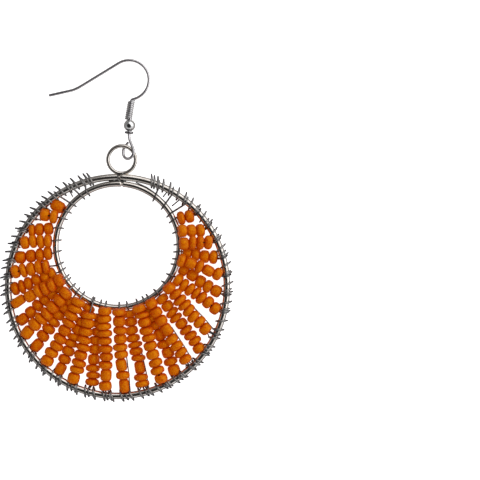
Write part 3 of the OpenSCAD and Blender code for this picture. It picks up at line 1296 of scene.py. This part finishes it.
@dataclass
class BeadString:
    """The beads of one string, from the outer hoop to the inner one.

    A face that points within end_lean degrees along the string is part of a bead's end.
    """

    node: str
    beads: list[Bead] = field(default_factory=list)
    end_lean: ClassVar[float] = 8.0

    @property
    def outer(self) -> np.ndarray:
        """The outer end of the outermost bead."""
        first = self.beads[0]
        return first.middle - first.axis * first.length / 2

    @property
    def inner(self) -> np.ndarray:
        """The inner end of the innermost bead."""
        last = self.beads[-1]
        return last.middle + last.axis * last.length / 2

    @property
    def heading(self) -> np.ndarray:
        """The direction of the whole string, inwards.

        Returns:
            A vector of length one, for a single bead that of its hole.
        """
        if len(self.beads) == 1:
            return self.beads[0].axis
        return unit(self.beads[-1].middle - self.beads[0].middle)

    @classmethod
    def read(cls, node: str) -> "BeadString":
        """Measures the beads of a solid node.

        Args:
            node: Name of the node.

        Returns:
            The string with its beads in order.
        """
        points, faces, labels = triangles(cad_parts[node].data)
        solids = [np.nonzero(labels == k)[0] for k in np.unique(labels)]
        middles = [points[s].mean(0) for s in solids]
        far = [float(np.linalg.norm((m - HOOP_MIDDLE)[:2])) for m in middles]
        order = sorted(range(len(solids)), key=lambda k: -far[k])
        heading = unit(middles[order[-1]] - middles[order[0]])
        made = cls(node)
        for k in order:
            own = faces[labels[faces[:, 0]] == labels[solids[k][0]]]
            made.beads.append(cls.measure(points, solids[k], own, heading))
        made.beads.sort(key=lambda bead: float(bead.middle @ heading))
        return made

    @classmethod
    def measure(cls, points: np.ndarray, solid: np.ndarray, faces: np.ndarray, heading: np.ndarray) -> Bead:
        """Measures one bead.

        Args:
            points: All points of the node, in mm.
            solid: The numbers of this bead's points.
            faces: The triangles of this bead.
            heading: The direction of the string.

        Returns:
            The bead.
        """
        a, b, c = (points[faces[:, k]] for k in range(3))
        area = np.cross(b - a, c - a)
        size = np.linalg.norm(area, axis=1) + 1e-12
        lean = area @ heading / size
        ends = np.abs(lean) > math.cos(math.radians(cls.end_lean))
        axis = unit((area[ends] * np.sign(lean[ends])[:, None]).sum(0)) if ends.any() else heading
        side = unit(np.cross(axis, UP))
        up = np.cross(axis, side)
        own = points[solid]
        spans = [(float((own @ v).min()), float((own @ v).max())) for v in (axis, side, up)]
        middle = sum((low + high) / 2 * v for (low, high), v in zip(spans, (axis, side, up)))
        return Bead(middle, axis, spans[0][1] - spans[0][0], spans[1][1] - spans[1][0])


def triangles(mesh: bpy.types.Mesh) -> tuple[np.ndarray, np.ndarray, np.ndarray]:
    """Merges the loose triangles of a solid node and finds which belong together.

    Args:
        mesh: The node's mesh.

    Returns:
        The points in mm, the triangles, and for each point a number that its solid shares.
    """
    steps_in_mm = 1e4
    places, corners = corners_of(mesh)
    places = places / MM
    whole = np.round(places * steps_in_mm).astype(np.int64)
    _, first, same = np.unique(whole, axis=0, return_index=True, return_inverse=True)
    faces = same.reshape(-1)[corners]
    labels = np.arange(len(first))
    while True:
        lowest = labels[faces].min(1)
        spread = labels.copy()
        np.minimum.at(spread, faces.ravel(), np.repeat(lowest, 3))
        spread = spread[spread]
        if (spread == labels).all():
            return places[first], faces, labels
        labels = spread


@dataclass
class BeadWork:
    """All strings of beads, numbered from 1 as the solids are, with sizes in mm.

    A drawn bead is a little longer and fuller than its solid, and a short bead is fuller than a long one.
    A string may be stretched outwards, up to where the outer hoop is near, unless it is held.
    """

    count: int = 30
    hole: float = 1.06
    sides: int = 16
    closer: float = 0.27
    fuller: float = 1.10
    short_girth: float = 1.09
    long_girth: float = 0.86
    girth_fall: float = 0.12
    short_bead: float = 1.4
    top: float = 6.08
    off_table: float = 0.02
    outer_stretch: float = 0.5
    hoop_stand: float = 0.86
    held: tuple[int, ...] = (15, 16, 18, 21, *range(23, 31))
    merged: tuple[int, ...] = (1,)
    merged_girth: float = 0.86
    play: float = 0.16
    tilt: float = 5.0
    lumps: float = 0.045
    square_least: float = 3.0
    square_growth: float = 4.0
    square_from: float = 0.62
    square_play: float = 0.3
    strings: list[BeadString] = field(default_factory=list)

    def measure(self) -> None:
        """Reads every string from the solids and settles its beads on the wire."""
        read = [BeadString.read(f"bead_strand_{n + 1:02d}") for n in range(self.count)]
        self.strings = [self.settled(n, string) for n, string in enumerate(read)]

    def settled(self, n: int, string: BeadString) -> BeadString:
        """Spreads the beads of a string up to the outer hoop and gives each its own lean.

        Args:
            n: Number of the string, from 0.
            string: The string as its solids are.

        Returns:
            The string as it is dressed.
        """
        way = string.heading
        last = string.inner
        full = float((last - string.outer) @ way)
        stand = float(np.linalg.norm(string.outer - meet(OUTER, string.outer, -way)))
        spare = 0.0 if n + 1 in self.held else stand - self.hoop_stand
        grow = 1.0 + max(0.0, min(self.outer_stretch, spare)) / full
        beads = []
        for k, bead in enumerate(string.beads):
            middle = last - (last - bead.middle) * grow
            side = unit(np.cross(bead.axis, UP))
            up = np.cross(bead.axis, side)
            middle = middle + self.play * (wave(n, k, 7) * side + 0.4 * wave(n, k, 8) * up)
            lean = math.radians(self.tilt) * (wave(n, k, 9) * side + 0.5 * wave(n, k, 10) * up)
            share = self.short_girth - self.girth_fall * (bead.length - self.short_bead)
            girth = self.fuller * bead.girth * min(self.short_girth, max(self.long_girth, share))
            half = girth / 2 * (1.0 + self.lumps)
            middle[2] = min(max(middle[2], half + self.off_table), self.top - half)
            beads.append(Bead(middle, unit(bead.axis + lean), bead.length * grow, girth))
        if n + 1 in self.merged:
            beads = [self.one_of(beads)]
        return BeadString(string.node, beads)

    def one_of(self, beads: list[Bead]) -> Bead:
        """Draws a whole string as one long bead, where the photo shows no joint between its beads.

        Args:
            beads: The beads of the string.

        Returns:
            One bead of their length, a little slimmer.
        """
        middle = sum(bead.middle for bead in beads) / len(beads)
        axis = unit(sum(bead.axis for bead in beads))
        length = sum(bead.length for bead in beads)
        return Bead(middle, axis, length, self.merged_girth * max(bead.girth for bead in beads))

    def seed(self, n: int, beads: list[Bead]) -> bpy.types.Mesh:
        """Makes the points of one string, with what each bead's shape needs.

        Args:
            n: Number of the string, from 0.
            beads: Its beads.

        Returns:
            A mesh of points. Their number "square" tells how barrel-like a bead is: a long one is squarer.
        """
        mesh = bpy.data.meshes.new(f"bead_points_{n + 1:02d}")
        mesh.from_pydata([tuple(b.middle * MM) for b in beads], [], [])
        sides = [unit(np.cross(b.axis, UP)) for b in beads]
        for key, arrows in (("axis", [b.axis for b in beads]), ("side", sides)):
            layer = mesh.attributes.new(key, Layer.ARROW.value, "POINT")
            layer.data.foreach_set("vector", np.array(arrows, np.float32).ravel())
        spans = [(b.length + self.closer) * MM for b in beads]
        girths = [b.girth * MM for b in beads]
        shapes = [span / girth for span, girth in zip(spans, girths)]
        square = [self.square_least + self.square_growth * max(0.0, s - self.square_from) for s in shapes]
        mark(mesh, {
            "span": spans,
            "girth": girths,
            "square": [flat + self.square_play * wave(n, k) for k, flat in enumerate(square)],
            "cast": [wave(n, k, 5) for k in range(len(beads))],
        })
        return mesh

    def build(self, shop: Workshop) -> None:
        """Makes one piece for each string.

        Args:
            shop: The workshop.
        """
        finish = ORANGE_GLASS.material()
        given = {
            "Hole Radius": self.hole / 2 * MM,
            "Sides": self.sides,
            "Lumps": self.lumps,
            "Finish": finish,
        }
        for n, string in enumerate(self.strings):
            piece = shop.grown(f"beads_{n + 1:02d}", self.seed(n, string.beads), shop.beads, given)
            kept(piece, Slot.BEADS, string.node)


# Stringing wire

STRING_WIRE = 0.35
# Where a lap starts and ends, in degrees round the hoop's wire
WHOLE_LAP = (-110.0, 250.0)


@dataclass
class StringWires:
    """The thin wire: the strings' own wires, the loops round the outer hoop, bare wires near the top.

    Sizes are in mm. Angles on a hoop are in degrees against the clock, from its right. Where a lap starts
    and ends is told in degrees round the hoop's wire: 0 is outside, 90 on top, 180 inside. Painted shades go
    from 0 for bright wire to 1 for dark wire, and a lap's painted shades are those at the outer tip, on top
    and at the inner tip: painted light on top of the hoop, painted shade at the tips.
    Tips are where the long loops are on the outer hoop, feet where the strings start, in their order, and
    bare where each bare wire is on the outer and on the inner hoop.
    """

    wire: float = STRING_WIRE
    sides: int = 7
    winding_thick: float = 1.5
    foot_thick: float = 1.4
    start_thick: float = 1.1
    lap_thick: float = 1.3
    seat: float = 0.05
    slant: float = 0.85
    foot_slant: float = 0.8
    inner_slant: float = 0.45
    claw: float = 0.1
    taper: float = 0.3
    tip_sharp: float = 2.2
    tip_narrow: int = 6
    flatter: float = 0.3
    lap_step: float = 22.0
    reach_mean: float = 0.62
    reach_swing: float = 0.38
    most_reach_at: float = 125.0
    reach_play: float = 0.06
    slant_play: float = 0.15
    inner_reach: float = 0.16
    low_reach: float = 0.22
    # Painted shade of the wires, from 0 for bright wire to 1 for dark wire: a lap is painted light on top
    # and painted dark at its tips
    winding_painted_shades: tuple[float, float, float] = (0.95, 0.55, 0.95)
    foot_step: float = 2.3
    foot_play: float = 0.5
    foot_reach: float = 0.05
    top_reach: float = 0.1
    foot_ends: tuple[float, float] = (-110.0, 115.0)
    foot_painted_shades: tuple[float, float, float] = (0.95, 0.8, 0.9)
    before_painted_shades: tuple[float, float, float] = (0.95, 0.35, 0.9)
    # Painted shade of the wire that runs through the beads
    run_painted_shade: float = 0.8
    past_beads: float = 0.05
    inner_tip: float = 0.42
    inner_shift: float = 0.4
    inner_end: float = 300.0
    inner_painted_shades: tuple[float, float, float] = (0.85, 0.7, 0.85)
    straighter_below: float = 0.8
    bridge_tips: tuple[float, float] = (0.12, 0.32)
    bridge_step: float = 1.8
    bridge_ends: tuple[float, float] = (-110.0, 125.0)
    bridge_inner_start: float = 75.0
    bridge_painted_shades: tuple[float, float, float] = (0.8, 0.6, 0.8)
    bridge_inner_painted_shades: tuple[float, float, float] = (0.9, 0.85, 0.9)
    tips: tuple[float, ...] = (
        105.0, 106.8, 109.4, 113.4, 117.4, 121.6, 126.0, 129.8, 133.6, 137.7, 141.9, 146.0, 150.0, 154.4,
        158.3, 162.6, 167.0, 170.9, 175.6, 179.8, 184.2, 188.8, 193.5, 198.0, 202.3, 206.7, 211.0, 215.5,
        220.4, 225.0, 229.8, 234.2, 239.0, 244.0, 249.2, 253.6, 258.6, 263.5, 268.0, 273.0, 278.0, 283.0,
        288.3, 292.8, 297.8, 302.8, 307.8, 313.2, 318.2, 323.0, 328.0, 333.0, 337.7, 342.7, 347.7, 352.5,
        357.4, 362.3, 367.2, 372.2, 376.8, 381.4, 386.2, 390.6, 395.1, 400.1, 404.6, 409.2, 413.5, 417.7,
        422.7, 426.5, 429.6, 431.4, 433.0,
    )
    feet: tuple[float, ...] = (
        131.7, 139.5, 148.8, 157.0, 166.0, 173.9, 182.0, 191.0, 200.0, 209.0, 218.5, 228.0, 237.0, 246.0,
        255.3, 265.0, 275.3, 286.0, 296.2, 305.0, 313.5, 324.0, 334.8, 347.0, 356.0, 366.0, 375.7, 385.2,
        394.0, 403.0,
    )
    bare: tuple[tuple[float, float], ...] = (
        (108.5, 118.8), (115.3, 125.0), (123.7, 136.5), (411.7, 390.0), (420.5, 399.7), (428.5, 411.5),
    )

    def reach(self, angle: float) -> float:
        """How far a loop stands off the outer hoop: most at the upper left, least at the lower right."""
        return self.reach_mean + self.reach_swing * math.cos(math.radians(angle - self.most_reach_at))

    def lap(self, ring: Ring, angle: float, tips: tuple[float, float], slant: float,
            painted_shades: tuple[float, float, float], ends: tuple[float, float] = WHOLE_LAP) -> list[Stop]:
        """One lap of wire round a hoop, which looks like one slanted line from above.

        Args:
            ring: The hoop.
            angle: Where on the hoop its outer tip is.
            tips: How far the outer and the inner tip stand off the hoop's wire.
            slant: How far the line moves along the hoop between its two tips.
            painted_shades: How dark it is painted at the outer tip, on top and at the inner tip.
            ends: Where round the hoop's wire the lap starts and ends: 0 is outside, 90 on top, 180 inside.

        Returns:
            The points of the lap.
        """
        side = ring.wire / 2 + self.wire / 2 + self.seat
        outside, inside = tips
        whole = 2 * side + outside + inside
        steps = max(6, round(abs(ends[1] - ends[0]) / self.lap_step))
        made = []
        for k in range(steps + 1):
            a = math.radians(ends[0] + (ends[1] - ends[0]) * k / steps)
            c, s = math.cos(a), math.sin(a)
            stand = (side + (outside if c > 0 else inside) * abs(c) ** self.tip_sharp) * c
            along = slant * ((stand - side - outside) / whole) + self.claw * max(0.0, c) ** self.tip_narrow
            place = ring.at(angle, stand, side * s * (1.0 - self.flatter * abs(c)), along)
            # Painted light and shade: a lap is drawn lighter on top of the hoop and darker towards its tips
            both = abs(c) + max(0.0, s) + 1e-6
            age = abs(c) / both * (painted_shades[0] if c > 0 else painted_shades[2]) + max(0.0, s) / both * painted_shades[1]
            made.append(Stop(place, 1.0 - self.taper * abs(c) ** self.tip_narrow, age))
        return made

    def winding(self) -> Path:
        """The wire that is wound round the outer hoop in long loops.

        Returns:
            One open path.
        """
        made = []
        for i, tip in enumerate(self.tips):
            outside = self.reach(tip) * (1.0 + self.reach_play * wave(i, 2))
            inside = self.inner_reach + self.low_reach * max(0.0, -math.sin(math.radians(tip)))
            slant = self.slant * (1.0 + self.slant_play * wave(i, 1))
            made += self.lap(OUTER, tip, (outside, inside), slant, self.winding_painted_shades)
        return Stop.path(made)

    def run(self, n: int, string: BeadString) -> Path:
        """The wire of one string: two laps round the outer hoop, the run through the beads, an inner lap.

        Args:
            n: Number of the string, from 0.
            string: The string of beads.

        Returns:
            An open path.
        """
        way = string.heading
        outside = self.foot_reach + self.top_reach * (1.0 + math.sin(math.radians(self.feet[n]))) / 2
        tips, slant = (outside, 0.0), self.slant * self.foot_slant
        before = self.feet[n] + self.foot_step + self.foot_play * wave(n, 3)
        foot = self.lap(OUTER, before, tips, slant, self.before_painted_shades)
        foot += self.lap(OUTER, self.feet[n], tips, slant, self.foot_painted_shades, self.foot_ends)
        made = [Stop(stop.place, stop.thick * self.foot_thick, stop.age) for stop in foot]
        made.append(Stop(string.outer - way * self.past_beads, self.start_thick, self.run_painted_shade))
        made += [Stop(bead.middle, 1.0, self.run_painted_shade) for bead in string.beads]
        made.append(Stop(string.inner + way * self.past_beads, 1.0, self.run_painted_shade))
        end = meet(INNER, string.inner, way)
        return Stop.path(made + self.inner_lap(end, string.inner[2] > INNER.middle[2]))

    def inner_lap(self, end: np.ndarray, over: bool) -> list[Stop]:
        """A string's last lap, round the inner hoop.

        Args:
            end: Where the string meets the hoop's middle circle.
            over: True where it comes in over the hoop, false where it comes in under it.

        Returns:
            The points of the lap, which ends below or above the hoop.
        """
        side = INNER.wire / 2 + self.wire / 2 + self.seat
        angle = math.degrees(math.atan2(*(end - INNER.middle)[[1, 0]]))
        low = max(0.0, -math.sin(math.radians(angle)))
        rise = math.degrees(math.asin(min(1.0, abs(end[2] - INNER.middle[2]) / side)))
        first, last = (rise, self.inner_end) if over else (-rise, -self.inner_end)
        slant = self.inner_slant * (1.0 - self.straighter_below * low ** 3)
        shifted = angle + math.degrees(slant * self.inner_shift / INNER.radius)
        stops = self.lap(INNER, shifted, (0.0, self.inner_tip), slant, self.inner_painted_shades, (first, last))
        return [Stop(stop.place, stop.thick * self.lap_thick, stop.age) for stop in stops]

    def bridge(self, outer: float, inner: float) -> Path:
        """A bare wire between the hoops, with a lap round each.

        Args:
            outer: Where its tip is on the outer hoop.
            inner: Where its tip is on the inner hoop.

        Returns:
            An open path.
        """
        tips, slant = (self.bridge_tips[0], 0.0), self.slant * self.foot_slant
        made = self.lap(OUTER, outer, tips, slant, self.bridge_painted_shades, self.bridge_ends)
        tips, ends = (0.0, self.bridge_tips[1]), (self.bridge_inner_start, self.inner_end)
        at = inner + self.bridge_step
        made += self.lap(INNER, at, tips, self.inner_slant, self.bridge_inner_painted_shades, ends)
        return Stop.path([Stop(stop.place, stop.thick * self.lap_thick, stop.age) for stop in made])

    def build(self, shop: Workshop, work: BeadWork, finish: bpy.types.Material) -> None:
        """Makes the wires.

        Args:
            shop: The workshop.
            work: The beads that they run through.
            finish: Their material.
        """
        runs = [self.run(n, string) for n, string in enumerate(work.strings)]
        bridges = [self.bridge(outer, inner) for outer, inner in self.bare]
        wound = self.wire * self.winding_thick
        kept(shop.drawn("string_runs", runs, self.wire, self.sides, finish), Slot.STRING, "bead_wires")
        kept(shop.drawn("outer_winding", [self.winding()], wound, self.sides, finish), Slot.STRING)
        kept(shop.drawn("bare_wires", bridges, self.wire, self.sides, finish), Slot.STRING)


@dataclass
class LooseWires:
    """The second wires that run beside a few strings, and the short loose ends, with sizes in mm.

    The strings in paired, fanned and knotted are numbered from 1. The scraps lie near the top, and their
    points stand on a chart: its middle is the outer hoop's middle, it runs down, and its step is in mm.
    """

    wire: float = STRING_WIRE * 0.85
    sides: int = 6
    paired: tuple[int, ...] = (17, 18, 21, 23)
    pair_beads: int = 5
    pair_aside: float = 1.38
    pair_lift: float = 0.15
    pair_bow: tuple[float, float, float] = (0.95, 1.03, 0.9)
    # Painted shade of the second wires, the loose ends and the scraps
    pair_painted_shades: tuple[float, float, float] = (0.85, 0.75, 0.85)
    fanned: tuple[int, ...] = (14, 15, 16, 18, 19, 21, 23)
    fan_aside: float = 0.95
    fan_play: float = 0.15
    fan_lift: float = 0.7
    fan_in: float = 0.7
    fan_close: float = 0.25
    fan_past: float = 0.2
    fan_painted_shade: float = 0.85
    knotted: tuple[int, ...] = (2, 6, 19, 24, 28)
    knot_height: float = 0.5
    knot_thick: float = 1.3
    chart_middle: tuple[float, float] = (117.5, 286.5)
    chart_step: float = 0.24
    scraps: tuple[tuple[tuple[float, float], ...], ...] = (
        ((170, 187), (167, 192), (163, 197)), ((183, 197), (178, 201), (172, 206)),
        ((136, 182.5), (147, 187.5), (157, 194.5), (165, 202), (172, 211), (175, 218)),
        ((68, 188), (73, 197)), ((71, 186), (78, 193)), ((44, 206), (53, 212)), ((35, 218), (41, 220.5)),
    )
    scrap_height: float = 0.35
    scrap_fall: float = 0.5
    scrap_painted_shade: float = 0.8

    def beside(self, string: BeadString) -> Path:
        """The second wire of a string, which comes back on the right of its beads.

        Args:
            string: The string of beads.

        Returns:
            An open path.
        """
        way = string.heading
        across = unit(np.cross(UP, way))
        start = meet(OUTER, string.outer, -way)
        last = string.beads[min(len(string.beads), self.pair_beads) - 1]
        aside = np.array([0.0, 0.0, self.pair_lift]) - across * self.pair_aside
        near, bow, far = self.pair_bow
        middle = (start + last.middle) / 2 + aside * bow
        points = [start + aside * near, middle, last.middle + aside * far]
        return Path(points, False, None, list(self.pair_painted_shades))

    def fan(self, n: int, string: BeadString) -> list[Path]:
        """The short ends that spread from a string's last bead to the outer hoop.

        Args:
            n: Number of the string, from 0.
            string: The string of beads.

        Returns:
            Open paths.
        """
        way = string.heading
        across = unit(np.cross(UP, way))
        start = meet(OUTER, string.outer, -way)
        lift = np.array([0.0, 0.0, self.fan_lift])
        made = []
        for side in (-1.0, 1.0):
            spread = self.fan_aside + self.fan_play * wave(n, 2, side)
            foot = start + across * side * spread + lift
            head = string.outer + across * side * self.fan_close + way * self.fan_past
            made.append(Path([foot + way * self.fan_in, head], False, None, [self.fan_painted_shade] * 2))
        return made

    def knot(self, string: BeadString) -> Path:
        """The end of a wire that is tucked in between a string's two outermost beads.

        Args:
            string: The string of beads.

        Returns:
            A short upright path.
        """
        first, second = string.beads[:2]
        middle = (first.middle + second.middle) / 2
        upright = np.array([0.0, 0.0, self.knot_height * min(first.girth, second.girth)])
        # A tucked end is drawn in full painted shade
        return Path([middle, middle + upright], False, [self.knot_thick] * 2, [1.0] * 2)

    def charted(self) -> list[Path]:
        """The scraps between the hoops near the top, charted one by one.

        Returns:
            Open paths.
        """
        made = []
        middle_x, middle_y = self.chart_middle
        for line in self.scraps:
            points = []
            for k, (chart_x, chart_y) in enumerate(line):
                x, y = (chart_x - middle_x) * self.chart_step, (middle_y - chart_y) * self.chart_step
                z = self.scrap_height - self.scrap_fall * k / len(line)
                points.append(HOOP_MIDDLE + np.array([x, y, z]))
            made.append(Path(points, False, None, [self.scrap_painted_shade] * len(points)))
        return made

    def build(self, shop: Workshop, work: BeadWork, finish: bpy.types.Material) -> None:
        """Makes the wires.

        Args:
            shop: The workshop.
            work: The beads beside which they run.
            finish: Their material.
        """
        strings = list(enumerate(work.strings))
        pairs = [self.beside(string) for n, string in strings if n + 1 in self.paired]
        fans = [path for n, string in strings if n + 1 in self.fanned for path in self.fan(n, string)]
        knots = [self.knot(string) for n, string in strings if n + 1 in self.knotted]
        loose = fans + knots + self.charted()
        kept(shop.drawn("return_wires", pairs, self.wire, self.sides, finish), Slot.STRING)
        kept(shop.drawn("loose_ends", loose, self.wire, self.sides, finish), Slot.STRING)


def meet(ring: Ring, start: np.ndarray, way: np.ndarray) -> np.ndarray:
    """The point where a line crosses a hoop's middle circle, seen from above.

    Args:
        ring: The hoop.
        start: A point of the line.
        way: Its direction.

    Returns:
        The point on the line.
    """
    p = (start - ring.middle)[:2]
    d = way[:2]
    a, b, c = d @ d, 2 * p @ d, p @ p - ring.radius ** 2
    root = math.sqrt(max(0.0, b * b - 4 * a * c))
    found = [t for t in ((-b - root) / (2 * a), (-b + root) / (2 * a)) if t > 0]
    return start + way * (min(found) if found else 0.0)


# Studio


@dataclass(frozen=True)
class SoftLight:
    """A soft light, in metres and watts. Metal doesn't show one that isn't mirrored."""

    name: str
    place: tuple[float, float, float]
    size: tuple[float, float]
    power: float
    mirrored: bool = True

    def hang(self, aim: tuple[float, float, float]) -> None:
        """Hangs the light.

        Args:
            aim: The point that it faces.
        """
        lamp = bpy.data.lights.new(self.name, "AREA")
        lamp.shape = "RECTANGLE"
        lamp.size, lamp.size_y = self.size
        lamp.energy = self.power
        holder = shown(self.name, lamp)
        holder.location = self.place
        holder.rotation_euler = (Vector(aim) - Vector(self.place)).to_track_quat("-Z", "Y").to_euler()
        holder.visible_glossy = self.mirrored


@dataclass
class Studio:
    """The pale table, the soft lights and the camera straight above. Picture and table sizes are in mm."""

    picture_width: float = 115.2
    picture_middle: tuple[float, float] = (29.4, -2.1)
    lens: float = 120.0
    sensor: float = 36.0
    clip: tuple[float, float] = (0.01, 20.0)
    table_half: float = 1500.0
    aim: tuple[float, float, float] = (0.02, 0.0, 0.0)
    lights: tuple[SoftLight, ...] = (
        SoftLight("key", place=(0.62, 0.50, 0.62), size=(2.1, 1.15), power=6.8),
        SoftLight("fill", place=(0.02, -0.10, 1.5), size=(1.6, 1.6), power=12.2, mirrored=False),
    )
    low_light: float = 0.95
    high_light: float = 0.04
    window: tuple[float, float, float] = (0.6, -0.8, 0.0)
    window_span: float = 0.9
    window_light: tuple[float, float] = (0.2, 0.8)
    dark_part: tuple[float, float, float] = (-0.14, -0.24, 0.96)
    dark_span: tuple[float, float] = (0.56, 0.84)

    def build_table(self) -> None:
        """Makes the flat table."""
        half = self.table_half * MM
        mesh = bpy.data.meshes.new("table")
        corners = [(-half, -half, 0), (half, -half, 0), (half, half, 0), (-half, half, 0)]
        mesh.from_pydata(corners, [], [(0, 1, 2, 3)])
        mesh.materials.append(PALE_TABLE.material())
        shown("table", mesh)

    def build_light(self) -> None:
        """Makes the soft lights and the room's own light."""
        for light in self.lights:
            light.hang(self.aim)
        room = bpy.data.worlds.new("room")
        room.use_nodes = True
        room.node_tree.nodes.clear()
        b = TreeBuilder(room.node_tree)
        way = b.add("ShaderNodeTexCoord").outputs["Generated"]
        to_dark = b.add("ShaderNodeVectorMath", {0: way, 1: self.dark_part}, operation="DOT_PRODUCT")
        to_window = b.add("ShaderNodeVectorMath", {0: way, 1: self.window}, operation="DOT_PRODUCT")
        bright = b.add("ShaderNodeMapRange", {
            "Value": to_window.outputs["Value"],
            "From Min": -self.window_span,
            "From Max": self.window_span,
            "To Min": self.window_light[0],
            "To Max": self.window_light[1],
        })
        shade = b.add("ShaderNodeMapRange", {
            "Value": to_dark.outputs["Value"],
            "From Min": self.dark_span[0],
            "From Max": self.dark_span[1],
            "To Min": self.low_light,
            "To Max": self.high_light,
        })
        strength = b.math("MULTIPLY", shade.outputs[0], bright.outputs[0])
        ground = b.add("ShaderNodeBackground", {"Color": (1.0, 1.0, 1.0, 1), "Strength": strength})
        b.add("ShaderNodeOutputWorld", {"Surface": ground.outputs[0]})
        bpy.context.scene.world = room

    def build_camera(self) -> None:
        """Makes the camera, straight above the middle of the picture."""
        lens = bpy.data.cameras.new("camera")
        lens.lens = self.lens
        lens.sensor_width = self.sensor
        lens.clip_start, lens.clip_end = self.clip
        camera = shown("camera", lens)
        height = self.lens / self.sensor * self.picture_width + HOOP_MIDDLE[2]
        camera.location = Vector((*self.picture_middle, height)) * MM
        bpy.context.scene.camera = camera

    def build(self) -> None:
        """Makes everything round the earring."""
        bpy.context.scene.view_settings.view_transform = "Standard"
        self.build_table()
        self.build_light()
        self.build_camera()


def main() -> None:
    """Builds the earring on its solids."""
    logging.basicConfig(level=logging.INFO, format="%(name)s: %(message)s")
    bpy.context.view_layer.update()
    shop = Workshop()
    Studio().build()
    HoopFrame().build(shop)
    hook = EarWire()
    hook.build(shop)
    ShankFittings().build(shop, hook.shank())
    work = BeadWork()
    work.measure()
    work.build(shop)
    steel = STRING_STEEL.material()
    StringWires().build(shop, work, steel)
    LooseWires().build(shop, work, steel)
    bpy.context.view_layer.update()


if __name__ == "__main__":
    main()
